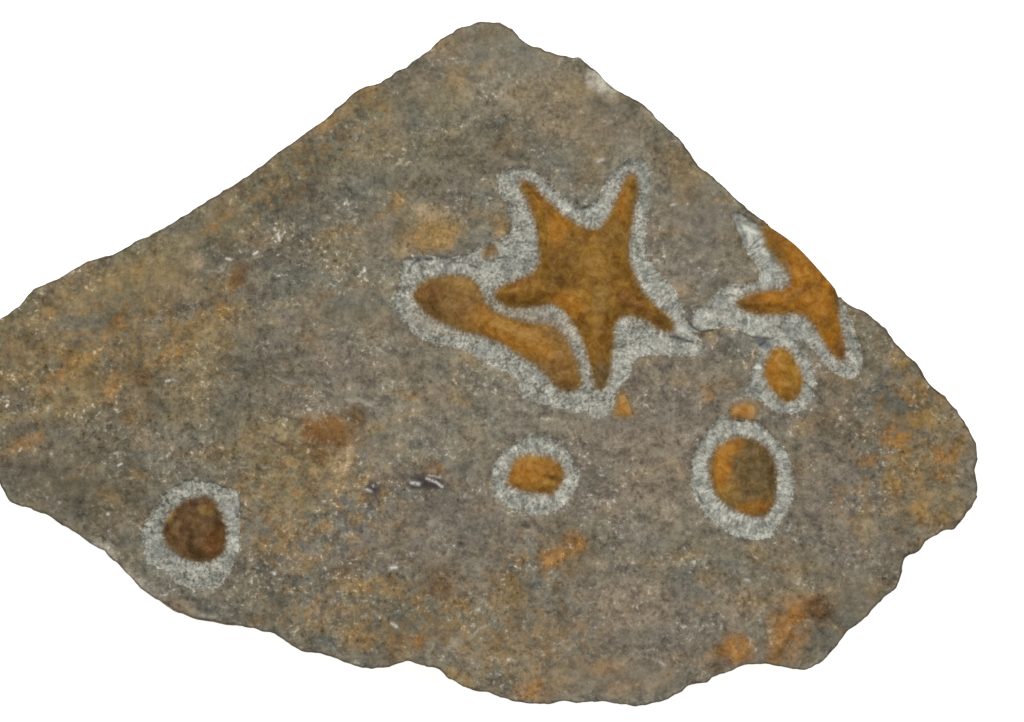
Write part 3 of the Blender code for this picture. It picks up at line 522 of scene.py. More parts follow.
# patches of colour by kind: middle, half length, half width, turn and strength
stonePatches = {
    # broad tints
    "mauve": [
        (28, -14, 22, 14, 0, 0.7), (34, 19, 9, 9, 0, 0.5), (62, -22, 14, 14, 0, 0.6),
        (-6, -28, 24, 10, 0, 0.6), (22, -44, 20, 9, 0, 0.7), (-20, 0, 12, 7, 0, 0.5),
        (58, -3, 8, 8, 0, 0.5)],
    "wash": [
        (-64, 5, 20, 11, 18, 0.75), (-33, -20, 8, 8, 0, 0.55), (-15, -43, 22, 5, -8, 0.45),
        (8, -50, 10, 5, 0, 0.3), (73.5, -14, 8, 15, 0, 0.6), (-35, 30, 24, 4, 36, 0.5),
        (14, 43, 8, 5, -35, 0.3), (52, -38, 8, 7, 0, 0.3), (32, 33, 6, 3.4, -47, 0.6),
        (-73, -4, 8, 5, 0, 0.4)],
    "umber": [
        (-59, -1, 20, 15, 12, 0.42), (-52, 19, 9, 4, 28, 0.4), (-76, -15, 7, 7, -10, 0.4),
        (-40, -8, 8, 9, 0, 0.35), (68.5, -9, 5, 3.6, 0, 0.45), (-64, -22, 10, 5, -12, 0.5),
        (-62.5, -13.5, 4, 3, 0, 0.5), (-44, -14.5, 3, 2.6, 0, 0.5), (-30.5, -14.5, 3, 2.4, 0, 0.4),
        (15, -29.5, 5, 3, 0, 0.4), (-3, 35.5, 14, 2.4, 0, 0.25), (-19, 44.5, 4, 2.4, 30, 0.4),
        (-10, -35.5, 5, 3, 0, 0.3), (9.5, -41, 5, 3, 0, 0.35), (60, -11, 5, 4, 0, 0.4),
        (59.5, -0.5, 4, 2.4, 0, 0.4), (-13.5, 22.8, 1.6, 2.2, 0, 0.6)],
    "olive": [
        (-10, 36, 16, 8, 20, 0.3), (-77, 7.5, 5, 2.4, 35, 0.6), (-55.5, 20, 8, 1.6, 26, 0.5),
        (-45.5, 17.3, 2, 1.2, -10, 0.7), (-45.5, 1.6, 3.4, 2.4, 0, 0.3), (-32, 30.5, 21, 4, 36, 0.6),
        (43, 21, 3.5, 3.5, 0, 0.4), (63.5, 1, 3, 7, -30, 0.35)],
    "shade": [
        (-50.5, 20.8, 4, 2.2, 30, 0.6), (-39, -34, 6, 4, -10, 0.45), (16, -45, 4, 4, 0, 0.3),
        (-49, -40, 6, 2.4, -15, 0.45), (-4, 26, 3, 2.4, 0, 0.5), (-41.8, -41, 3, 2.4, 0, 0.35),
        (2, 56, 3, 2, 0, 0.35), (-13, 49, 3, 3, 0, 0.4), (22, 43, 5, 3, -40, 0.35),
        (6.5, 37.5, 4, 4, 0, 0.5), (-28, 38, 4, 3, 30, 0.5), (-19, 35, 4, 3, 0, 0.35),
        (-49, 20, 7, 4, -50, 0.6), (-50.4, 21.6, 3.4, 3, 0, 0.7), (64.6, -19.5, 4, 2, 57, 0.4),
        (68.3, -33.7, 2, 5, -10, 0.4), (-78.5, -12, 3, 5, -15, 0.45), (-68.4, 6.7, 5, 3, 25, 0.4),
        (-71.5, -24, 7, 2, -40, 0.35), (-40.4, 8.1, 5, 2, 10, 0.35), (17.5, -33, 3, 2.4, 0, 0.4),
        (-1.4, -29, 2.4, 4, 0, 0.35), (-21.5, -24.4, 5, 2, -10, 0.35), (15, 44.5, 2.4, 3.4, 0, 0.35),
        (-34, 1, 5, 5, 0, 0.5), (-64.5, -14, 7, 4, 0, 0.5), (65, -17.5, 3, 3, 0, 0.5),
        (-9.5, -21.8, 7, 2.6, 0, 0.6), (-14, -37, 4, 7, 0, 0.45), (55, -44.5, 3, 3, 0, 0.5),
        (-61.5, 10.4, 5, 2.2, 18, 0.85), (-66.5, 5.5, 3.4, 2.4, 20, 0.9),
        (-71, -0.5, 2.6, 1.2, 28, 0.6), (-78, -4.8, 2.4, 1.2, 10, 0.6), (-63.5, -11.5, 5, 1.8, 5, 0.5),
        (-70, -18, 7, 2.4, -8, 0.55), (-67.5, -23.8, 3, 2, -30, 0.6), (-32, 27, 7, 5, 20, 0.7),
        (-42, 19, 3, 2.6, 25, 0.4), (-31.5, 20.5, 6, 5, 0, 0.75), (-26, 10, 4, 3, 0, 0.3),
        (-2.5, 33, 5, 3, 0, 0.35), (-12.5, 22.5, 1.6, 2.4, 0, 0.4), (-2, 26, 3, 3, 0, 0.3),
        (-40, -39.5, 7, 2.2, -12, 0.35), (-20, -32, 3, 2, 0, 0.3), (2.8, -52, 1.6, 1.4, 0, 0.6),
        (70.2, -7.6, 1.8, 1.6, 0, 0.6), (69.5, -25.7, 1, 2.2, 0, 0.7), (72.5, -14, 1.8, 1, 0, 0.5)],
    "slateTint": [
        (-30.5, -37.5, 4, 3.6, 0, 0.5), (-48.8, -4.7, 4, 3, 40, 0.35), (-19, 15.1, 2.6, 3.4, 0, 0.35),
        (69.5, -6.8, 6, 3, 50, 0.4), (-23.5, 37.5, 5, 3, 0, 0.4), (-51, -39, 4, 2.4, -40, 0.5),
        (2, 48, 3, 2, 0, 0.3), (-62, 3.5, 5, 2, 0, 0.35), (-29.5, -33.4, 3, 1.6, 0, 0.4),
        (-4, 36.5, 4, 2, 0, 0.3), (-49, 20, 5, 3, -50, 0.35), (-67.6, 6.7, 4, 3, 30, 0.6),
        (19.6, -30.5, 3, 2.6, 0, 0.35), (56.1, -35.9, 3, 2, -40, 0.35),
        (-31.6, 22.9, 4.4, 2.4, 20, 0.4), (-20, -36, 6, 3, 0, 0.4), (-31, -41, 4, 2, 0, 0.4),
        (-43, -41, 6, 3, 0, 0.45), (12, -41, 4, 3, 0, 0.35), (17, -47, 6, 4, 0, 0.3),
        (-64.3, 8.5, 3.6, 1.1, 16, 0.6), (-57.5, -15.5, 2.4, 1.6, 0, 0.4),
        (-49.7, 8.7, 1.8, 1.4, 30, 0.6), (-20, 29, 5, 3, 20, 0.3), (-20, -15.8, 1.4, 2.4, 0, 0.6),
        (-37, -29.5, 2, 1, 0, 0.5), (-12.8, -21.5, 2.4, 1.6, 0, 0.45), (-18, -17, 2.4, 1.6, 0, 0.4),
        (-16, -14.5, 2.6, 2.6, 0, 0.35), (-26.2, -46.5, 2.6, 1.4, -15, 0.8), (27, -45.5, 4, 2, 10, 0.3),
        (58, -45.5, 1.8, 2.2, -30, 0.25), (60.5, -42, 3, 1.8, 30, 0.2), (33, -37.5, 3, 3, 0, 0.35),
        (66.3, -4.8, 4.4, 2.6, 20, 0.6), (66.3, -27.5, 2.2, 2.8, 0, 0.6)],
    "khaki": [
        (-51.5, 0.8, 4.4, 2.4, 15, 0.5), (-23.5, 19, 3.6, 5, 0, 0.3), (-37.2, -14.3, 2.8, 2.4, 0, 0.5),
        (-48.5, -1, 4, 7, 0, 0.6), (-75.5, -1, 4, 4, 0, 0.4), (-68.5, -6.2, 5, 2.6, 20, 0.7),
        (-14, -2.5, 5, 3, 0, 0.3), (-28, -26, 3, 2.4, 0, 0.35), (5, -38.5, 2.4, 4, 0, 0.45),
        (-7, 44, 4, 3, 0, 0.35), (-19, 6.5, 4, 3, 0, 0.3), (-62, 12, 12, 3, 22, 0.55),
        (-53, 18, 6, 2.8, 28, 0.6), (-70, 4, 6, 3, 25, 0.4), (-77.5, -8.8, 3.4, 0.9, 5, 0.6),
        (-46.2, 5, 2.4, 1.5, 45, 0.8), (-50.3, 0.4, 1, 1.2, 0, 0.8), (-18.5, 36, 5, 2, 10, 0.4),
        (15, 46, 3, 2, 0, 0.4), (-8, 22.8, 4.4, 2.8, -15, 0.9), (-13.8, 19.3, 1.6, 1.2, 30, 0.85),
        (37.8, 6, 1.6, 1.4, 0, 0.5), (-24, -17, 2.8, 3.8, 0, 1), (-24.6, -19, 2.6, 1.6, 0, 0.8),
        (-27, -18.4, 1.6, 2.4, 0, 0.5), (-34, -21, 4.6, 5, 0, 0.5), (-33, -11.3, 2.8, 1.6, 0, 0.7),
        (72.5, -16.5, 3, 3.4, 0, 0.4), (63.3, -26.8, 1.6, 2.4, 0, 0.6), (77, -22, 3, 3, 0, 0.35)],
    "ash": [
        (25.5, 31.4, 4, 5, 30, 0.8), (33, 17, 3, 3, 0, 0.4), (6, -5.5, 9, 4.4, -35, 0.4),
        (6.4, -8.5, 3.4, 3.4, 0, 0.6), (-8, -12, 5, 3, 0, 0.5), (-52, -13.5, 4, 2, 0, 0.45),
        (81.5, -16.5, 2, 5, 0, 0.8), (26.5, -25.5, 4, 4, 0, 0.4), (40, -36, 4, 2, 0, 0.45),
        (-46, -38.5, 4, 2, 0, 0.4), (26.5, -55, 5, 2, 0, 0.6), (15, -54, 5, 2, 0, 0.4),
        (73, -27.5, 3, 2, 0, 0.5), (-27, -28.5, 5, 2.4, -50, 0.4), (7, 49, 3, 2, 0, 0.35),
        (-55.5, 6.5, 3, 2.4, 0, 0.4), (-15.5, -5, 5, 3, 0, 0.3), (1.8, 46.6, 3, 4, 0, 0.5),
        (-40.5, -28.5, 5, 4, 0, 0.5), (-6.8, -48.3, 4, 2.6, 0, 0.6)],
    # strong stains
    "beige": [
        (-25.5, -41.2, 3, 1.6, 0, 0.4), (42.8, -39.3, 3.4, 3, 0, 0.3), (28.5, -18.5, 5, 7, 0, 0.22),
        (-18, -18, 4, 4, 0, 0.35), (-15.9, -14.5, 5, 2, 40, 0.35), (66.5, -24.7, 6, 2.4, 55, 0.35),
        (-42.8, -28, 2.4, 3.6, 0, 0.4), (-28.8, 7.7, 2, 5, -20, 0.3), (-4, -35.5, 4, 2, -45, 0.3),
        (-48, 17, 1.8, 1.4, 0, 0.7), (-72, -3.8, 1.8, 1, 0, 0.35), (-57, -12.5, 1.6, 2, 20, 0.5),
        (-33.5, 22, 2.6, 1.8, 20, 0.3), (-14.5, 40, 1.6, 2.4, -30, 0.35), (4, 44, 9, 3, -20, 0.2),
        (12, 42, 8, 4, -30, 0.3), (-8.8, 25, 2.2, 1.6, 0, 0.95), (-12.8, 19.4, 2.4, 1.2, 35, 0.5),
        (3, 23, 1.2, 1.4, 0, 0.6), (-2.5, 1.5, 2.8, 1.4, 0, 0.6), (-24, -17, 2.6, 3.6, 0, 0.7),
        (-25.2, -18.9, 3.4, 1.8, 0, 0.6), (-22.3, -13.8, 1.4, 1.6, 0, 0.5), (-39, -14, 1.4, 1, 0, 0.5),
        (19, -33, 1.8, 1.4, 0, 0.4), (-50, -40.5, 3, 1, -20, 0.5), (6, -50.5, 3, 1.8, 0, 0.4),
        (17, -48, 12, 6, 0, 0.18), (25, -40, 7, 5, 0, 0.25)],
    "gold": [
        (-6, 53, 3, 3, 0, 0.35), (-26.5, -17, 2, 3, 0, 0.4), (-56.5, 15.5, 2.4, 1.2, 10, 0.45),
        (-72.5, 8.8, 1, 1.6, 0, 0.45), (-61, 5.2, 3, 0.9, 30, 0.4), (-67.3, 0.7, 3, 1.9, 45, 0.95),
        (-79.5, -15, 1.6, 1.2, 0, 0.4), (-57.8, -18.6, 1.8, 0.8, -10, 0.4),
        (-68.5, -18.8, 1.2, 0.8, 0, 0.4), (-62.5, -22, 1.8, 1, -20, 0.35),
        (-43.6, 8.7, 1.6, 1.6, 0, 0.9), (-47.5, 5.5, 5.5, 2.6, 35, 0.4),
        (-49.7, 2.8, 2.8, 1.2, 30, 0.5), (-20, 45.3, 3.4, 1.6, 30, 0.45),
        (-25.5, 40.4, 4, 1.2, 36, 0.55), (-36, 29.5, 5, 1, 36, 0.15), (-8.3, 21.4, 4.4, 2.4, 5, 0.95),
        (17.8, 33, 2, 4.4, -28, 0.3), (59, -2.8, 3, 2.4, 0, 0.3), (-14, 26.8, 1.5, 1.9, 0, 0.85),
        (2.9, 22.8, 1.5, 1.8, 0, 0.7), (-12.5, -5.2, 2, 0.7, -15, 0.7), (53.2, -11, 1.8, 1.4, 0, 0.35),
        (53.2, -17.2, 1.8, 1.4, 0, 0.35), (-24.6, -18, 2.4, 2.4, 0, 0.3),
        (-35.5, -10.8, 1.6, 1, 0, 0.4), (-35.5, -30.5, 3.6, 1.8, 0, 0.5),
        (-30, -33.5, 2.6, 1.4, 0, 0.35), (-20.6, -19.2, 1.6, 1, 20, 0.6),
        (-16.3, -21.8, 0.9, 0.5, 0, 0.8), (14, -31.5, 3.4, 2, 20, 0.4),
        (-4.2, -40.4, 2.4, 1.4, 20, 0.7), (-19, -37, 5, 1.8, 0, 0.6), (-20.8, -46, 2.4, 1.8, 0, 0.7),
        (-4, -52.5, 2.6, 1.3, -30, 0.7), (3, -46, 4, 2.4, 0, 0.4), (10.7, -44.6, 3.4, 1.8, 0, 0.4),
        (13, -52, 3, 1.4, 0, 0.2), (-32, -41.5, 2.2, 1.6, 0, 0.25), (4.5, -37.5, 3, 3, 0, 0.35),
        (39, -48, 1.8, 1.2, 0, 0.5), (38, -35.5, 2.4, 1.6, 0, 0.45), (69.5, 0.8, 1.4, 1.5, 0, 0.9),
        (72.5, -4.8, 2, 1.7, 20, 0.8), (73.3, -9.3, 2.2, 1.5, 20, 0.9), (80.3, -13.8, 1.7, 1.4, 0, 0.8),
        (68.5, -19.5, 1.5, 2.2, 10, 1), (73, -25, 2.4, 2, 0, 0.9), (76.5, -25.7, 1.4, 1.3, 0, 0.7),
        (70, -15.5, 1.8, 1.8, 0, 0.5)],
    "rust": [
        (-41.3, 13.8, 1.2, 1.7, -20, 0.45), (-60.7, 7, 1.3, 1.2, 0, 0.4),
        (-70.5, -2.2, 3.6, 1, 40, 0.4), (-62, -4.3, 1.1, 2.2, -20, 0.5),
        (-76, -13.2, 2.8, 1.3, 20, 0.5), (-51.8, 1.6, 2.8, 1.1, 25, 0.4),
        (-44.5, 23.2, 3.5, 0.9, 37, 0.3), (37.6, -4.9, 1.2, 1.6, 0, 0.6),
        (-25.4, -11.4, 4.2, 2.2, -5, 1), (-21.6, -9.4, 1.9, 1.7, 50, 0.5),
        (-7.6, -17.4, 1.3, 0.9, -20, 0.5), (15.3, -30, 1.5, 2.2, -10, 0.9), (11.8, -32.6, 2, 1.5, 0, 1),
        (-10.7, -46.6, 0.9, 1.4, 0, 0.7), (8.8, -54.6, 3, 1.6, 0, 0.7), (20, -50.5, 3.4, 1.2, 0, 0.2),
        (24, -54, 4, 1.4, 0, 0.3), (42.2, -47.7, 2.7, 2.5, 0, 1), (51, -43, 2.6, 4.2, -28, 1),
        (54, -40, 2.4, 1.4, 20, 0.6), (48.6, -47.8, 1.8, 2.6, -10, 0.85),
        (52.5, -46.2, 1.6, 4, -20, 0.5), (68.8, -12.2, 2.1, 1.7, 0, 0.85),
        (77.2, -15.2, 1.9, 1.6, 0, 0.75), (76.2, -18.3, 1.2, 1.6, 0, 0.7), (64, -16, 1.4, 1, 0, 0.45)],
    "brown": [
        (-40.6, 15.2, 1.5, 2, -15, 0.7), (-69, 1.4, 2.2, 0.7, 30, 0.6), (-56.8, -2.2, 1.6, 1.6, 0, 0.5),
        (-38, 20, 1.2, 2, 10, 0.4), (-25.4, -11.6, 4.2, 2.2, -5, 0.75), (-25.3, -12.6, 4, 2.2, 0, 0.45),
        (-20.8, -9, 2.2, 1.6, 60, 0.6), (-27.4, -15.2, 1.1, 2, 25, 0.6),
        (-8.4, -17.9, 2.2, 0.8, -10, 0.5), (14.2, -29.6, 1.4, 1.4, 0, 0.4),
        (-7.4, -35.4, 2.2, 1.8, 0, 0.5), (-7.2, -37.2, 2.2, 1.8, 0, 0.9), (56, -41, 2.8, 2, 20, 0.85),
        (50, -46.2, 1.2, 1.4, 0, 0.4)],
    "amber": [
        (-8.3, 21.4, 4, 2, 5, 0.16), (11.6, -32.9, 1.4, 1, 20, 0.9), (41.6, -48.2, 1.2, 1.2, 0, 0.4),
        (50.2, -43.8, 1, 2.8, -20, 0.6)],
    "pale": [
        (-56.2, -37.2, 4, 1.3, -40, 0.45), (19.9, 47, 2.6, 1.8, -40, 0.9),
        (-63.3, -31, 2.2, 1.1, -30, 0.75)],
    # on the cut ground
    "inset": [
        (10.5, 7, 5.4, 1.7, -23, 0.4), (-9, 7, 4, 1.4, -30, 0.3), (1.2, 18.8, 1.5, 1.1, 25, 1)],
    "ochre": [
        (48.6, 19.9, 5, 1.25, -61, 1)],
    "slate": [
        (47.9, 16.6, 1.2, 1.2, -50, 0.4), (53.5, 5.6, 2.6, 1.8, 30, 0.3), (6, 17.5, 4, 2.4, 15, 0.25),
        (-53.5, -30, 3, 3, 0, 0.25), (1.7, 2.4, 2.4, 1.8, 0, 0.25), (46.8, 3.5, 1.4, 0.9, -25, 1)],
    "chalk": [
        (43.2, -19.5, 9, 11.5, 0, 0.5), (49.5, -1.5, 5.5, 6.5, 0, 0.3), (29.5, 10, 3, 10, 40, 0.4),
        (41, 9, 5, 4, 0, 0.2), (8.6, -19, 7, 6.5, 0, 0.2), (44.6, 20.5, 3.6, 5, 0, 0.8),
        (46.6, 14.6, 3, 3, 0, 0.5), (-12.6, 18.6, 4, 2.4, 50, 0.7), (-5, 17.3, 3, 2.4, 0, 0.5),
        (-42, -28, 2, 4, 0, 0.4), (14, 27.3, 7, 2.4, -38, 0.45), (46.5, 7.5, 2.4, 6, 0, 0.45),
        (26, -0.5, 7, 3, 10, 0.4), (11.5, 8, 5, 3, -20, 0.5)],
    # dark minerals, freckled stone, and where the specks are lively or calm
    "dark": [
        (-9.6, -19.8, 3, 1.15, -8, 1), (-18.2, -20.7, 1.2, 1.3, 0, 1)],
    "freckle": [
        (-28, -23, 13, 11, 0, 0.7), (-14, -42, 22, 6, -8, 0.6), (8, -46, 12, 9, 0, 0.5),
        (72, -14, 8, 13, 0, 0.75), (62.5, -24, 4.5, 6, 0, 0.6), (-62, 4, 18, 11, 15, 0.5),
        (10, -33, 7, 5, 0, 0.6), (-30, 33, 18, 3.4, 36, 0.5)],
    "lively": [
        (-24.7, 26.5, 3.5, 5, 0, 0.9), (-30.5, 19.8, 8.5, 3.5, 0, 0.7), (-24.2, 15.3, 4, 3, 0, 1),
        (-76.3, -4.7, 4, 4, 0, 0.9), (-60.5, -11, 12, 4.5, -5, 0.5), (-33, -9.3, 6.5, 7, 0, 0.9),
        (-13.8, -19.7, 6, 3, 0, 0.9), (-63.8, -29.7, 4, 3, 0, 0.8), (-20.5, -36.8, 12, 5.5, 0, 0.6),
        (2.8, -33, 5, 4, 0, 0.6), (22.8, -34.7, 4, 3.5, 0, 0.7), (-23, -44.7, 4, 2.6, 0, 0.8),
        (2.8, -49.7, 3.5, 3, 0, 0.9), (62.8, -34.3, 4, 3, 0, 0.7), (62.8, -14.3, 4, 4, 0, 0.5),
        (74, -18, 5, 3, 0, 0.3)],
    "calm": [
        (68.5, -9.5, 4, 3, 0, 0.7), (-62, -3.5, 8, 2.4, 0, 0.5), (2.8, 52.3, 9, 4, -20, 1),
        (-10.5, 44.8, 9, 4, 25, 0.8), (19.5, 39.8, 8, 5, -50, 0.8), (36.2, 25.7, 5, 8, 0, 1),
        (-43.8, 22.7, 4, 5, -35, 0.9), (-57.5, 12.2, 14, 4, 20, 0.9), (-22, 9.8, 7, 4, 0, 0.9),
        (-16.3, 25.7, 4, 7, 0, 0.6), (-16.3, -14.7, 4, 2.6, 0, 0.9), (-70.5, -19.3, 9, 3.5, -8, 0.8),
        (62.8, -39.3, 4, 4, 0, 1), (21, -52.7, 10, 3, 0, 0.9), (-10.5, -44.7, 4, 2.6, 0, 0.8),
        (14.5, -45, 8, 3.5, 0, 0.5), (47.8, -47.7, 7, 3, 0, 0.5), (-25.5, -11, 4.5, 2.4, 0, 0.7)],
}
broadKinds = ("mauve", "wash", "umber", "olive", "shade", "slateTint", "khaki", "ash")
strongKinds = {"beige": 0.8, "gold": 0.35, "rust": 0.35, "brown": 0.6, "amber": 0.5, "pale": 0.8}
groundKinds = ("inset", "ochre", "slate")
mineralKinds = ("chalk", "dark", "freckle", "lively", "calm")

# cracks, whose dark colour is painted shade in the crevice, pale ledges and glints: half width,
# strength and points
marks = {
    "shadedCrack": [
        (0.2, 0.9, [(34.4, 7), (35.1, 6), (36.4, 5.4), (38.4, 5.6)]),
        (0.26, 1, [(31.3, 4.6), (32.5, 4.4), (33.7, 3.9), (35, 3.7)]),
        (0.15, 0.6, [(42.8, 5.4), (44, 4.8), (45.4, 4.3)]),
        (0.15, 0.5, [(27, 3.5), (28.8, 2), (30, 1.3)]),
        (0.26, 0.8, [(-12.5, 15.2), (-12, 16.5), (-11, 17.3), (-8.7, 17.5)]),
        (0.13, 0.7, [(-6.5, 16.4), (-5.2, 17), (-2.7, 16.8), (-1.1, 16.1)]),
        (0.16, 0.9, [(0.2, 17.4), (1.5, 17.3), (3, 17.8)]),
        (0.18, 0.7, [(35.7, -21.3), (36.3, -22.8), (37.8, -24.8)]),
        (0.2, 0.9, [(-41, -25.5), (-39.6, -25.8)]),
        (0.17, 0.9, [(-35.3, -12.2), (-34.3, -13), (-33, -13.6)]),
        (0.14, 0.6, [(14.5, -42.3), (16, -41.5)]),
        (0.3, 1, [(-11.8, -20.5), (-9.5, -20.3), (-7.6, -20.7)]),
        (0.2, 0.5, [(52.5, -2), (54.5, -3.8), (56.5, -6)]),
        (0.2, 0.5, [(-20.1, -7.9), (-19.7, -9.4), (-20.4, -11)]),
        (0.24, 0.45, [(-28, -13.1), (-26.4, -13.8), (-24.6, -13.5)])],
    "ledge": [
        (0.32, 0.45, [(-22.8, -6.1), (-20.6, -6), (-18.6, -6.9)]),
        (0.33, 0.48, [(-48.8, -41.3), (-46.5, -42.2), (-44.7, -42.3)]),
        (0.22, 0.48, [(-2.2, -46), (-0.7, -44.2), (1.2, -43.4)]),
        (0.13, 0.42, [(34.3, -17.7), (37.3, -17.7)]), (0.22, 0.6, [(0, 19.9), (1, 20.4), (2, 20.7)]),
        (0.22, 0.6, [(45.7, 3), (47.1, 2)]), (0.18, 0.42, [(-40.5, -17.3), (-38.8, -17.2)]),
        (0.18, 0.42, [(-36.8, -17.3), (-35.5, -17.2)]),
        (0.15, 0.3, [(-35, -2), (-33, -3), (-31, -3.4)])],
    "glint": [
        (0.27, 1, [(-62.5, -25)]), (0.17, 0.9, [(-60.8, -16.9), (-60.2, -16.6)]),
        (0.17, 0.8, [(-77.3, -14.5), (-77, -14)]), (0.26, 0.5, [(-72, -15)]),
        (0.17, 0.7, [(-61.4, -14.9), (-60.9, -14.8)]), (0.21, 0.6, [(-62.4, -27.8)]),
        (0.21, 0.8, [(-76.8, -4.2)]), (0.21, 0.8, [(-80, -5.5)]), (0.17, 0.7, [(-75.3, -1.7)]),
        (0.17, 0.7, [(-74.8, -7.3)]), (0.19, 0.8, [(-61.2, -7.6), (-60.8, -8)]),
        (0.17, 0.9, [(-42.8, 17.6), (-42, 17.4)]), (0.19, 0.9, [(-38.2, 18.3), (-37.6, 18.7)]),
        (0.2, 0.8, [(-34.2, 21.6), (-33.9, 20.6)]), (0.17, 0.8, [(-34.8, 22.4)]),
        (0.14, 0.8, [(-35.3, 6.8)]), (0.19, 0.8, [(-52.8, -2.9), (-52.2, -2.7)]),
        (0.17, 0.8, [(-45.8, -5.8)]), (0.13, 0.9, [(66.3, -14.3)]), (0.17, 1, [(74.3, -3.8)]),
        (0.13, 0.7, [(72, -8)]), (0.19, 0.7, [(22.3, 28.2), (22.7, 28)]),
        (0.26, 0.7, [(19.2, 33.8), (19.9, 34.1)]), (0.14, 0.9, [(36, 16)]),
        (0.17, 0.6, [(31.3, 26.5), (31.9, 26.6)]), (0.17, 0.6, [(34.1, 26.7)]),
        (0.15, 0.8, [(12, -24.8)]), (0.15, 0.8, [(13.5, -24.5)]),
        (0.29, 0.9, [(-15.3, -34), (-14.5, -33.9)]), (0.26, 0.8, [(-15.2, -43.2), (-14.4, -43.8)]),
        (0.26, 0.9, [(4.2, -49.3)]), (0.17, 0.8, [(2.8, -51.8)]), (0.14, 1, [(17.9, -37.3)]),
        (0.24, 0.7, [(43.7, -35.9), (44.3, -36.1)]), (0.12, 1, [(34.5, -34.7)]),
        (0.2, 0.6, [(46.2, -42.7)]), (0.17, 0.6, [(29.5, -49.6), (30.3, -50.2)]),
        (0.3, 0.9, [(-11.9, -19.8), (-10.7, -20)]), (0.13, 0.7, [(-9, -18.6), (-7.2, -18.9)]),
        (0.2, 0.9, [(-9.4, -19.1), (-7.8, -19.7), (-6.8, -20.5)]), (0.2, 1, [(-18.3, -20.3)]),
        (0.22, 0.7, [(-19.4, -20.9), (-18.7, -21.2)]), (0.13, 0.9, [(-17.6, -19.8)]),
        (0.17, 0.6, [(-37.5, -34)]), (0.14, 0.6, [(-25.4, -29.4)])],
}

stoneTones = {
    "cool": tone(119, 116, 102),
    "warm": tone(137, 126, 104),
    "blush": tone(130, 118, 103),
    "wash": tone(137, 115, 76),
    "ledge": tone(196, 190, 174),
    "freckle": tone(144, 115, 75),
    "umber": tone(99, 85, 57),
    "mauve": tone(132, 121, 107),
    "olive": tone(114, 108, 82),
    "shade": tone(96, 90, 76),
    "ash": tone(150, 142, 124),
    "khaki": tone(154, 136, 98),
    "beige": tone(172, 150, 118),
    "slateTint": tone(102, 104, 96),
    "gold": tone(152, 122, 74),
    "amber": tone(190, 144, 88),
    "brown": tone(104, 76, 44),
    "rust": tone(160, 114, 58),
    "pale": tone(196, 189, 170),
    "chalk": tone(188, 188, 177),
    "inset": tone(142, 116, 80),
    "ochre": tone(122, 89, 31),
    "slate": tone(112, 118, 116),
    "dark": tone(68, 60, 60),
    # painted highlight of the glints
    "glint": tone(234, 229, 220),
    # painted shade in the cracks
    "shadedCrack": tone(70, 68, 64),
    "cutDark": tone(108, 106, 95),
    "cutPale": tone(199, 197, 183),
    "cutCalm": tone(154, 157, 149),
    # painted shade along the rim
    "rim": tone(66, 60, 52),
    "bed": tone(122, 104, 76),
    "bedDark": tone(88, 78, 64),
    "bedPale": tone(150, 140, 118),
}


def tinted(tree, colour, kind, share):
    # the colour with a share of one of the stone's tones
    return mixed(tree, share, colour, stoneTones[kind])


def cutColourNode(tree, place):
    # pale crumbs on the cut ground, with calm bluish areas, and how ragged its edges are
    aside = addNode(tree, "ShaderNodeCombineXYZ", {"Z": times(tree, layerNode(tree, "cut"), 0.4)})
    radial = shifted(tree, layerNode(tree, "nearFossil", "Vector"), aside)
    strokes = noiseNode(tree, radial, "strokes")
    crumbs = noiseNode(tree, place, "crumbs")
    clumps = noiseNode(tree, place, "clumps")
    light = plus(tree, times(tree, crumbs, 0.46), times(tree, strokes, 0.24), times(tree, clumps, 0.24))
    light = ramped(tree, light, 0.33, 0.61)
    colour = mixed(tree, light, stoneTones["cutDark"], stoneTones["cutPale"])
    bluish = ramped(tree, noiseNode(tree, place, "bluish"), 0.48, 0.66, 0.0, 0.5)
    colour = tinted(tree, colour, "cutCalm", bluish)
    chalk = layerNode(tree, "chalk")
    colour = tinted(tree, colour, "chalk", chalk)
    swing = times(tree, ramped(tree, strokes, 0.32, 0.68, -1.0, 1.0), chalk, 0.5)
    return scaled(tree, colour, plus(tree, swing, 1.0)), plus(tree, strokes, crumbs, -1.0)


def plainColourNode(tree, place):
    # the stone's own quiet colour, before stains
    wide, tint, blush = (noiseNode(tree, place, name) for name in ("wide", "tint", "blush"))
    wide = ramped(tree, wide, 0.34, 0.66)
    colour = mixed(tree, wide, stoneTones["cool"], stoneTones["warm"])
    colour = tinted(tree, colour, "blush", ramped(tree, blush, 0.5, 0.68, 0.0, 0.45))
    colour = tinted(tree, colour, "gold", ramped(tree, tint, 0.54, 0.74, 0.0, 0.45))
    return tinted(tree, colour, "slateTint", ramped(tree, tint, 0.45, 0.27, 0.0, 0.35))


def sideColourNode(tree, place):
    # brown and pale layers in the broken side
    layered = addNode(tree, "ShaderNodeMapping", {"Vector": place, "Scale": (0.1, 0.1, 1.0)})
    bed = noiseNode(tree, layered, "bed")
    brown = ramped(tree, bed, 0.36, 0.5)
    colour = mixed(tree, brown, stoneTones["bedDark"], stoneTones["bed"])
    colour = tinted(tree, colour, "bedPale", ramped(tree, bed, 0.54, 0.68))
    bedTint = noiseNode(tree, place, "bedTint")
    return tinted(tree, colour, "gold", ramped(tree, bedTint, 0.52, 0.7, 0.0, 0.7))


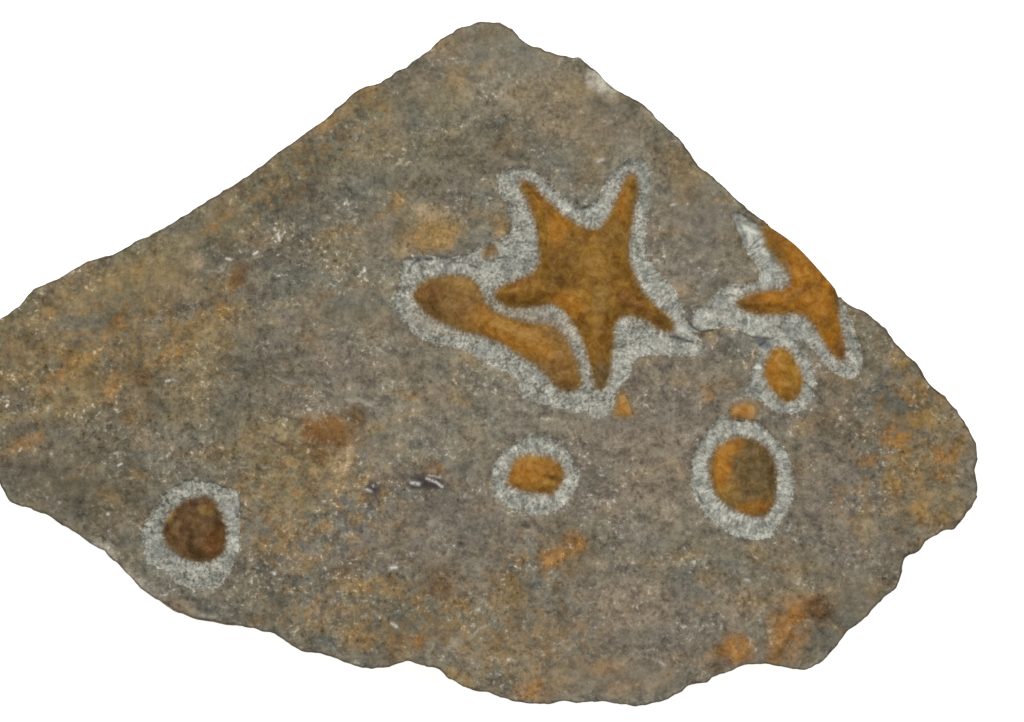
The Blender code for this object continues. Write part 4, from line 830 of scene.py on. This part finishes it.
def specksNode(tree, streaked, flecks, wander, calm):
    # pale specks and dashes, and dark specks painted as shade in small pits, in clusters, more in
    # lively areas than in calm ones
    lively = layerNode(tree, "lively")
    cluster = ramped(tree, noiseNode(tree, streaked, "cluster"), 0.4, 0.66, 0.15)
    cluster = plus(tree, cluster, times(tree, lively, 0.4))
    ridge = addNode(tree, "ShaderNodeMath", {0: minus(tree, wander, 0.5)}, operation="ABSOLUTE")
    dashes = times(tree, ramped(tree, ridge, 0.07, 0.0), ramped(tree, flecks, 0.42, 0.6))
    pale = times(tree, ramped(tree, flecks, 0.56, 0.74, 0.0, 0.26), cluster)
    pale = plus(tree, pale, times(tree, dashes, cluster, 0.1))
    # the dark specks taken off here are painted shade
    specks = minus(tree, pale, ramped(tree, flecks, 0.45, 0.24, 0.0, 0.12))
    liveliness = plus(tree, times(tree, lively, 0.2), 1.0)
    return times(tree, specks, minus(tree, liveliness, times(tree, calm, 0.65)))


def stoneLight(tree, place, calm=0.0):
    # light and dark grain all over the stone, quieter in calm areas
    grain = ramped(tree, noiseNode(tree, place, "grain"), 0.2, 0.8, 0.44, 1.56)
    quiet = minus(tree, 1.0, times(tree, calm, 0.3))
    return plus(tree, times(tree, minus(tree, grain, 1.0), quiet), 1.0)


def groundShare(tree, outside, ragged):
    # how far the ground's colour has taken over from a fossil's, across its ragged edge
    return ramped(tree, plus(tree, outside, times(tree, ragged, 0.9)), -0.5, 0.95)


def stoneFinish():
    finish, tree, shader, place = newFinish("stone", {"Roughness": 0.85, "Specular IOR Level": 0.2})
    streaked = addNode(tree, "ShaderNodeMapping", {
        "Vector": place, "Rotation": (0, 0, math.radians(-30)), "Scale": (0.6, 1.0, 1.0)})
    patch, broken, wander, flecks, facets = (
        noiseNode(tree, place, name) for name in ("patch", "broken", "wander", "flecks", "facets"))
    calm = layerNode(tree, "calm")

    # the plain stone and its side
    colour = plainColourNode(tree, streaked)
    for kind in broadKinds:
        colour = stained(tree, colour, kind, stoneTones, patch)
    side = times(tree, layerNode(tree, "side"), 0.85)
    colour = mixed(tree, side, colour, sideColourNode(tree, place))
    freckle = layerNode(tree, "freckle")
    rusty = times(tree, freckle, ramped(tree, broken, 0.46, 0.64))
    colour = tinted(tree, colour, "freckle", rusty)
    cool = times(tree, freckle, ramped(tree, broken, 0.48, 0.32, 0.0, 0.6))
    colour = tinted(tree, colour, "slateTint", cool)
    for kind, thin in strongKinds.items():
        colour = stained(tree, colour, kind, stoneTones, broken, thin)
    colour = dusted(tree, colour, specksNode(tree, streaked, flecks, wander, calm))

    # the cut ground, and the fossils' colour, with the painted shade of their edges, where they reach
    # into it
    cutColour, ragged = cutColourNode(tree, place)
    border = ramped(tree, plus(tree, layerNode(tree, "cut"), ragged), -0.2, 0.25)
    colour = mixed(tree, border, colour, cutColour)
    for kind in groundKinds:
        colour = stained(tree, colour, kind, stoneTones, patch, 1.0)
    colour = scaled(tree, colour, stoneLight(tree, place, calm))
    outside = groundShare(tree, layerNode(tree, "toFossil"), ragged)
    colour = mixed(tree, outside, layerNode(tree, "fossilToneAndShade", "Color"), colour)

    # minerals, cracks with painted shade, pale ledges, glints painted as highlights, and painted shade
    # along the rim
    for kind, thin in {"dark": 0.85, "shadedCrack": 0.35, "ledge": 0.35}.items():
        colour = stained(tree, colour, kind, stoneTones, wander, thin)
    # painted highlights: glints on the dark minerals and on small crystals
    glintHighlight = times(tree, layerNode(tree, "glint"), ramped(tree, facets, 0.36, 0.54, 0.5))
    colour = tinted(tree, colour, "glint", glintHighlight)
    # painted shade: the face darkens over the last 0.3 mm before the rim, and the side darkens near the
    # rim's height
    rim = ramped(tree, layerNode(tree, "rimAway"), 0.3, 0.0, 0.0, 0.55)
    colour = tinted(tree, colour, "rim", rim)
    coverWith(tree, shader, colour, plus(tree, flecks, times(tree, ragged, 0.4)))
    return finish


def runsOf(points):
    # the straight runs between points; one point gives a run without length
    corners = [np.array(point, float) for point in points]
    return list(zip(corners, corners[1:] or corners))


markRuns = {kind: [(halfWidth, strength, runsOf(points)) for halfWidth, strength, points in group]
            for kind, group in marks.items()}


def markLayers(flat):
    # how strongly the cracks, ledges and glints cover each place
    layers = {}
    for kind, group in markRuns.items():
        layers[kind] = np.zeros(len(flat))
        for halfWidth, strength, runs in group:
            away, _ = nearestOn(runs, flat)
            layers[kind] = np.maximum(layers[kind], strength * np.exp(-(away / halfWidth) ** 2))
    return layers


def isUnderside(face):
    return face.normal.z < -0.9 and face.calc_center_median().z < slab["underBelow"]


def squareUnder(form):
    # the flat underside cut into squares, so that its triangles come out even
    sheet = [face for face in form.faces if isUnderside(face)]
    sheet = bmesh.ops.dissolve_faces(form, faces=sheet)["region"]
    step = slab["underSquares"]
    for axis in (0, 1):
        along = [vertex.co[axis] for face in sheet for vertex in face.verts]
        across = Vector((1 - axis, axis, 0))
        for place in np.arange(min(along) + step, max(along) - 0.3 * step, step):
            edges = {edge for face in sheet for edge in face.edges}
            verts = {vertex for face in sheet for vertex in face.verts}
            made = bmesh.ops.bisect_plane(form, geom=[*verts, *edges, *sheet], dist=0.5,
                                          plane_co=across * place, plane_no=across)
            sheet = [item for item in made["geom"] if isinstance(item, bmesh.types.BMFace)]
    trianglesOnly(form)


def tagSlab(form):
    # every face of the solid gets a number that says which part of the slab it is
    middles = np.array([face.calc_center_median()[:2] for face in form.faces])
    toRim, _ = nearestOn(rimEdge, middles)
    for face, rimAway in zip(form.faces, toRim):
        lean = face.normal.z
        low = min(vertex.co.z for vertex in face.verts)
        face.material_index = sideTag
        if isUnderside(face):
            face.material_index = underTag
        elif slab["seatMargin"][0] < low - slab["seatHeight"] < slab["seatMargin"][1]:
            face.material_index = seatTag
        elif low > slab["wallsAbove"] and (lean > 0.6 or rimAway > slab["rimGap"]):
            face.material_index = faceTag


def slabSpacing(middles):
    size = np.full(len(middles), slab["sideSpacing"])
    height = middles[:, 2]
    face = np.nonzero(height > slab["faceAbove"])[0]
    flat = middles[face, :2]
    marked = np.full(len(face), np.inf)
    for halfWidth, _, runs in (mark for group in markRuns.values() for mark in group):
        away, _ = nearestOn(runs, flat)
        marked = np.minimum(marked, away - halfWidth)
    size[face] = slab["faceSpacing"]
    size[face[depthInside(cutLoops, flat) > -slab["cutMargin"]]] = slab["cutSpacing"]
    size[face[marked < slab["markMargin"]]] = slab["markSpacing"]
    size[height < slab["underBelow"]] = slab["underSpacing"]
    size[np.abs(height - slab["seatHeight"]) < 0.05] = slab["hiddenSpacing"]
    return size


def sidePush(wall):
    # how far the broken side stands out at each place: layers, breaks and grain
    climb = lumps(wall * (1, 1, 0), slab["sideClimb"], 9)
    depth, high, long = slab["strata"]
    layered = np.column_stack([wall[:, :2] / long, (wall[:, 2] + climb) / high])
    push = cloud(layered, 1.0, 10, 2) * depth
    push += lumps(wall, slab["hackle"], 12, 3)
    push += lumps(wall, slab["sideGrain"], 13, 2)
    quiet, fade = slab["quietSide"]
    least = slab["leastRelief"]
    return push * (least + (1 - least) * eased((quiet - wall[:, 2]) / fade))


def buildSlab(finish):
    form = copyOf("matrix_slab")
    squareUnder(form)
    tagSlab(form)
    refine(form, slabSpacing)
    tags = [{face.material_index for face in vertex.link_faces} for vertex in form.verts]
    isFace, isSide, isUnder = (np.array([kind in tag for tag in tags])
                               for kind in (faceTag, sideTag, underTag))
    loose = [vertex for vertex, tag in zip(form.verts, tags) if tag == {sideTag}]
    for _ in range(slab["sideSmoothing"]):
        bmesh.ops.smooth_vert(form, verts=loose, factor=0.5, use_axis_x=True, use_axis_y=True,
                              use_axis_z=True)
    places = placesOf(form)
    normals = normalsOf(form)

    # the ground closes up to the fossils
    away, spot = nearestOn(allFossilRuns, places[:, :2])
    near, far = slab["closeUpReach"]
    move = slab["closeUp"] * eased((far - away) / (far - near))
    move = np.where(isFace, move, 0.0) / np.maximum(away, 0.05)
    places[:, :2] += (spot - places[:, :2]) * move[:, None]

    # small chips along the rim
    rimAway, _ = nearestOn(rimEdge, places[:, :2])
    rise, size = slab["chips"]
    chip = np.column_stack([cloud(places * (1, 1, 0), size, seed, 2) for seed in (16, 17)])
    reach = slab["chipReach"]
    share = np.exp(-(rimAway / reach) ** 2) * eased((away - slab["chipGap"]) / reach) * rise
    places[:, :2] += chip * share[:, None]

    # the side and the underside
    onSide = isSide & ~isFace
    outward = normals[onSide] * (1, 1, 0)
    outward /= np.maximum(np.linalg.norm(outward, axis=1), 0.01)[:, None]
    places[onSide] += outward * sidePush(places[onSide])[:, None]
    bumps = lumps(places[isUnder] * (1, 1, 0), slab["underRelief"], 14, 4)
    places[isUnder, 2] += np.clip(bumps + 0.1, 0.0, 1.0)

    # the upper face
    flat = places[:, :2]
    cut = depthInside(cutLoops, flat)
    toFossil, spot, fossilToneAndShade = nearestFossil(flat)
    marked = {kind: cover * isFace for kind, cover in markLayers(flat).items()}
    height = faceHeight(flat[isFace], cut[isFace], rimAway[isFace], spot[isFace])
    height += (marked["ledge"] * ground["ledgeRise"] - marked["shadedCrack"] * ground["crackDepth"])[isFace]
    places[isFace, 2] = height
    moveTo(form, places)

    layers = paint(flat, stonePatches, (*broadKinds, *strongKinds, *groundKinds, *mineralKinds))
    for kind in strongKinds:
        layers[kind] *= np.where(isFace, 1.0, slab["sideStains"])
    layers.update(marked)
    layers["fossilToneAndShade"] = fossilToneAndShade
    layers["cut"] = np.where(isFace, cut, -farAway)
    layers["toFossil"] = np.where(isFace, toFossil, farAway)
    layers["nearFossil"] = onLevel(spot)
    # painted shade along the rim: on the side it fades with the distance from the rim's height
    belowRim = np.abs(places[:, 2] - slab["shadedRimHeight"]) * slab["shadedRimFade"]
    layers["rimAway"] = np.where(onSide, belowRim, rimAway)
    layers["side"] = (~isFace).astype(float)
    finishPiece(form, "stoneSlab", "matrix_slab", finish, layers)


# the looks of the fossils; the patches are given as for the stone
fossilKinds = ("deep", "warm", "tan", "red", "grey")
fossils = {
    "main_starfish": {
        "piece": "mainStarfish", "slot": "ochre_fossil", "relief": 1.5, "ground": "cut",
        "tones": (tone(124, 86, 26), tone(154, 112, 42)),
        "patches": {
            "warm": [
                (12.5, 23, 1.5, 3, 0, 0.9), (13.8, 10, 3, 2, 0, 0.9), (22.8, 27, 1.2, 3.4, 10, 0.6),
                (9.5, 27, 2, 1.6, -40, 0.35)],
            "deep": [
                (12, 15.5, 3.6, 2.2, -20, 0.6), (14.5, 19, 1.6, 2, 0, 0.4),
                (7, 11.2, 4.5, 1.3, 10, 0.4), (30.2, 6.9, 1.8, 1, -30, 0.7)],
            "tan": [
                (17.2, 17.8, 2.8, 1.1, 35, 0.35), (19, 16.2, 1.1, 2.4, 15, 0.3),
                (22.8, 21.5, 1.8, 2.6, 70, 0.2), (19.4, 10.6, 1.2, 2.4, 0, 0.5)],
            "red": [
                (10.2, 26.9, 2.2, 0.8, -55, 0.4), (6.2, 13.5, 2.4, 0.9, 15, 0.8),
                (25.5, 9.8, 3.6, 1.3, -40, 0.8), (19.5, 4, 1.8, 3, 0, 0.4)],
            "grey": [(19.8, -2.2, 1.2, 2.6, 0, 0.8)]}},
    "edge_starfish": {
        "piece": "edgeStarfish", "slot": "ochre_fossil", "relief": 1.3, "ground": "cut",
        "tones": (tone(132, 88, 24), tone(172, 116, 34)),
        "patches": {
            "warm": [(50, 13, 3, 2, 20, 0.8), (55, 9.5, 3, 3, 0, 0.9), (51.5, 18, 3.4, 2.4, -50, 0.6)],
            "deep": [(58.8, 11, 1, 2.4, 10, 0.7), (43.8, 9.9, 1.4, 0.8, 0, 0.6)],
            "red": [(59.6, 2.4, 0.8, 2.2, 10, 0.8), (49.5, 21.5, 1.8, 0.8, -45, 0.5)]}},
    "long_fossil": {
        "piece": "longFossil", "slot": "ochre_fossil", "relief": 1.3, "ground": "cut",
        "tones": (tone(124, 92, 48), tone(150, 114, 60)),
        "patches": {
            "deep": [(-7.5, 10.8, 3.2, 2.6, 0, 0.5)],
            "red": [(-9, 12, 2, 1.4, 20, 0.4), (13.2, -0.7, 1.8, 2.4, -20, 0.35)],
            "warm": [(5, 4.8, 8, 2.4, -25, 0.9)],
            "tan": [(5, 5.6, 5, 1.2, -25, 0.5), (14, 1.5, 2, 2, 0, 0.4)]}},
    "oval_fossil": {
        "piece": "ovalFossil", "slot": "ochre_fossil", "relief": 1.1, "ground": "cut",
        "tones": (tone(146, 100, 28), tone(182, 134, 56)),
        "patches": {
            "warm": [(48.5, -2, 1.4, 2.6, 10, 0.8)],
            "deep": [(51.4, -4.4, 1.6, 1.6, 0, 0.45)]}},
    "round_fossil_large": {
        "piece": "largeRoundFossil", "slot": "ochre_fossil", "relief": 1.5, "ground": "cut",
        "tones": (tone(108, 84, 48), tone(142, 110, 60)),
        "patches": {
            "warm": [
                (39.8, -18, 1.4, 4.6, 0, 1), (41, -13.8, 2.2, 1.4, 30, 0.9),
                (45, -24, 3.6, 1.3, 10, 0.9)],
            "tan": [(41, -21.5, 1.6, 2.2, 30, 0.5)],
            "deep": [(43.4, -13.4, 1.8, 1, 0, 0.8), (48.4, -20, 0.9, 3.6, 0, 0.8)],
            "grey": [(45.2, -18.8, 2.8, 4, 0, 0.8)]}},
    "round_fossil_small": {
        "piece": "smallRoundFossil", "slot": "ochre_fossil", "relief": 1.2, "ground": "cut",
        "tones": (tone(146, 100, 38), tone(174, 130, 60)),
        "patches": {
            "warm": [(7, -18.5, 2.8, 2.4, 0, 0.7)],
            "deep": [(11.2, -18.8, 1.4, 0.4, -10, 0.6)]}},
    "dark_round_fossil": {
        "piece": "darkRoundFossil", "slot": "brown_fossil", "relief": 1.2, "ground": "cut",
        "tones": (tone(86, 61, 32), tone(114, 86, 52)),
        "patches": {
            "red": [(-44.6, -30, 1.8, 2.2, 0, 0.7)],
            "tan": [(-46.2, -24.3, 1.2, 0.8, 0, 0.5), (-52.3, -24.9, 0.5, 1.3, 0, 0.9)]}},
    "fragment_by_ring": {
        "piece": "fragmentByRing", "slot": "ochre_fossil", "relief": 0.35, "ground": "plain",
        "tones": (tone(158, 114, 62), tone(190, 144, 88)),
        "patches": {
            "warm": [(43.3, -7.8, 1.2, 0.8, 0, 0.6)]}},
    "fragment_by_star": {
        "piece": "fragmentByStar", "slot": "ochre_fossil", "relief": 0.35, "ground": "plain",
        "tones": (tone(164, 120, 60), tone(196, 152, 88)),
        "patches": {
            "warm": [(23.6, -7.4, 1, 1.2, 0, 0.5)]}},
}
fossilTones = {
    "deep": tone(88, 62, 20),
    "warm": tone(172, 115, 36),
    "tan": tone(166, 132, 70),
    "red": tone(122, 78, 36),
    "grey": tone(104, 88, 56),
    # painted shade at the fossils' edges
    "edge": tone(108, 88, 50),
}
fossilShape = {
    "spacing": 0.27,              # size of the mesh
    "shoulder": 2.6,              # width over which the edge rises to the full height
    "spread": 0.55,               # how far the edge spreads into the ground
    "lumps": (0.2, 2.6),
    "pits": (0.05, 0.8),
    "leastRise": 0.04,            # share of the relief that stays at the edge
    "edgeFall": 0.4,              # slope of the part that spreads past the outline
    "footDrop": 0.35,
    "brokenGap": 0.1,             # what lies this close to the slab's rim is a broken edge
}


def nearestFossil(flat):
    # distance to the nearest fossil, the nearest point on it and its middle colour, darkened by the
    # painted shade of its edge
    best = np.full(len(flat), np.inf)
    spot = np.zeros((len(flat), 2))
    colour = np.zeros((len(flat), 3))
    for node, runs in fossilRuns.items():
        away, foot = nearestOn(runs, flat)
        closer = away < best
        best[closer] = away[closer]
        spot[closer] = foot[closer]
        low, high, edge = (np.array(shade) for shade in (*fossils[node]["tones"], fossilTones["edge"]))
        # a third of this colour is the painted edge shade
        colour[closer] = ((low + high) * 0.33 + edge * 0.34)[:3]
    return best, spot, colour


def fossilFinish(name, look):
    finish, tree, shader, place = newFinish(name, {"Specular IOR Level": 0.18})
    mottle = noiseNode(tree, place, "mottle")
    patch = noiseNode(tree, place, "fossilPatch")
    grain = noiseNode(tree, place, "fossilGrain")
    low, high = look["tones"]
    colour = mixed(tree, ramped(tree, mottle, 0.34, 0.66), low, high)
    for kind in fossilKinds:
        colour = stained(tree, colour, kind, fossilTones, patch, 0.75)
    inner = layerNode(tree, "inner")
    # painted shade: each fossil darkens towards its edge, all round
    edgeShade = ramped(tree, inner, 1.0, 0.0, 0.0, 0.34)
    colour = mixed(tree, edgeShade, colour, fossilTones["edge"])
    colour = dusted(tree, colour, times(tree, minus(tree, grain, 0.5), 0.44))

    # the ground's colour past the edge
    groundColour, ragged = cutColourNode(tree, place)
    if look["ground"] == "plain":
        groundColour = plainColourNode(tree, place)
    for kind in groundKinds:
        groundColour = stained(tree, groundColour, kind, stoneTones, patch, 1.0)
    groundColour = scaled(tree, groundColour, stoneLight(tree, place))
    outside = groundShare(tree, times(tree, inner, -1.0), ragged)
    colour = mixed(tree, outside, colour, groundColour)
    tree.links.new(ramped(tree, mottle, 0.3, 0.7, 0.52, 0.72), shader.inputs["Roughness"])
    coverWith(tree, shader, colour, grain)
    return finish


def buildFossil(node, look):
    form = copyOf(node)
    # a broken edge at the slab's rim keeps its full height and colour
    atRim = fossilShape["brokenGap"]
    broken = [run for run in fossilRuns[node] if gapTo(rimEdge, run) < atRim]
    runs = [run for run in fossilRuns[node] if gapTo(rimEdge, run) >= atRim]
    refine(form, lambda middles: np.full(len(middles), fossilShape["spacing"]))
    places = placesOf(form)
    foot = places[:, 2].min()
    isTop = np.array([any(face.normal.z > 0.3 for face in vertex.link_faces) for vertex in form.verts])
    isFoot = places[:, 2] < foot + 0.01
    outward = normalsOf(form)[:, :2]

    # the edge of the top spreads out and down into the ground
    inner, spot = nearestOn(runs, places[:, :2])
    toEdge = (spot - places[:, :2]) / np.maximum(inner, 0.02)[:, None]
    direction = np.where((inner < 0.02)[:, None], outward, toEdge)
    direction /= np.maximum(np.linalg.norm(direction, axis=1), 0.01)[:, None]
    spread = fossilShape["spread"] * eased(1.0 - inner)
    places[:, :2] += direction * np.where(isTop, spread, 0.0)[:, None]

    # the domed top, from the height of the ground round it
    flat = places[:, :2]
    away, spot = nearestOn(runs, flat)
    inside = within(fossilRuns[node], flat) | (nearestOn(broken, flat)[0] < atRim)
    inner = np.where(inside, away, -away)
    rimAway, _ = nearestOn(rimEdge, flat)
    cut = depthInside(cutLoops, flat)
    level = onLevel(flat, 7.0)
    relief = lumps(level, fossilShape["lumps"], 30, 3) + lumps(level, fossilShape["pits"], 31, 2)
    depth = np.clip(inner / fossilShape["shoulder"], 0.0, 1.0)
    dome = 0.5 * (1 - (1 - depth) ** 2) + 0.5 * eased(depth)
    least = fossilShape["leastRise"]
    height = faceHeight(flat, cut, rimAway, spot) + look["relief"] * (least + (1 - least) * dome)
    height = height + relief * dome + np.minimum(inner, 0.0) * fossilShape["edgeFall"]
    places[isTop, 2] = height[isTop]
    places[isFoot, 2] = foot - fossilShape["footDrop"]
    moveTo(form, places)

    layers = paint(flat, look["patches"], fossilKinds)
    layers.update(paint(flat, stonePatches, ("chalk", *groundKinds)))
    layers["inner"] = inner
    layers["cut"] = cut
    layers["nearFossil"] = onLevel(spot)
    finish = fossilFinish(look["piece"] + "Finish", look)
    finishPiece(form, look["piece"], node, finish, layers)


buildSlab(stoneFinish())
for node, look in fossils.items():
    buildFossil(node, look)


studio = {
    "viewMiddle": (4.83, 0.5),
    "viewWidth": 170.67,
    "lens": 100.0,
    "sensor": 36.0,
    "tableSize": 4.0,             # half its side, in metres
    "tableDrop": 0.2,             # how far it lies below the slab
    "tableTone": 0.9,
    "tableRoughness": 0.9,
    "tableSheen": 0.1,
    "tableGlow": 0.7,
    "skyStrength": 0.5,
    "lampPower": 2.6,
    "lampSize": 0.3,
    "lampPlace": (-0.12, 0.42, 0.62),
}


def buildCamera(scene):
    # straight above the face, as wide as the view
    camera = bpy.data.cameras.new("viewCamera")
    camera.lens = studio["lens"]
    camera.sensor_width = studio["sensor"]
    camera.clip_start = 0.01
    viewer = bpy.data.objects.new("viewCamera", camera)
    distance = studio["viewWidth"] * studio["lens"] / studio["sensor"]
    place = (*studio["viewMiddle"], ground["height"] + distance)
    viewer.location = [length * mm for length in place]
    scene.collection.objects.link(viewer)
    scene.camera = viewer


def buildTable(scene):
    table = bmesh.new()
    bmesh.ops.create_grid(table, x_segments=1, y_segments=1, size=studio["tableSize"])
    bmesh.ops.translate(table, vec=(0, 0, -studio["tableDrop"] * mm), verts=table.verts)
    mesh = bpy.data.meshes.new("table")
    table.to_mesh(mesh)
    table.free()
    floor = bpy.data.objects.new("table", mesh)
    scene.collection.objects.link(floor)
    paper = bpy.data.materials.new("paper")
    paper.use_nodes = True
    inputs = paper.node_tree.nodes["Principled BSDF"].inputs
    inputs["Base Color"].default_value = (*[studio["tableTone"]] * 3, 1.0)
    inputs["Roughness"].default_value = studio["tableRoughness"]
    inputs["Specular IOR Level"].default_value = studio["tableSheen"]
    inputs["Emission Color"].default_value = (1.0, 1.0, 1.0, 1.0)
    inputs["Emission Strength"].default_value = studio["tableGlow"]
    mesh.materials.append(paper)


def buildLight(scene):
    lamp = bpy.data.lights.new("softLamp", "AREA")
    lamp.energy = studio["lampPower"]
    lamp.size = studio["lampSize"]
    light = bpy.data.objects.new("softLamp", lamp)
    light.location = studio["lampPlace"]
    light.rotation_euler = (-Vector(studio["lampPlace"])).to_track_quat("-Z", "Y").to_euler()
    scene.collection.objects.link(light)
    sky = bpy.data.worlds.new("sky")
    sky.use_nodes = True
    background = sky.node_tree.nodes["Background"]
    background.inputs["Strength"].default_value = studio["skyStrength"]
    background.inputs["Color"].default_value = (1.0, 1.0, 1.0, 1.0)
    scene.world = sky
    scene.view_settings.view_transform = "Standard"


buildCamera(bpy.context.scene)
buildTable(bpy.context.scene)
buildLight(bpy.context.scene)
print("studio ready")
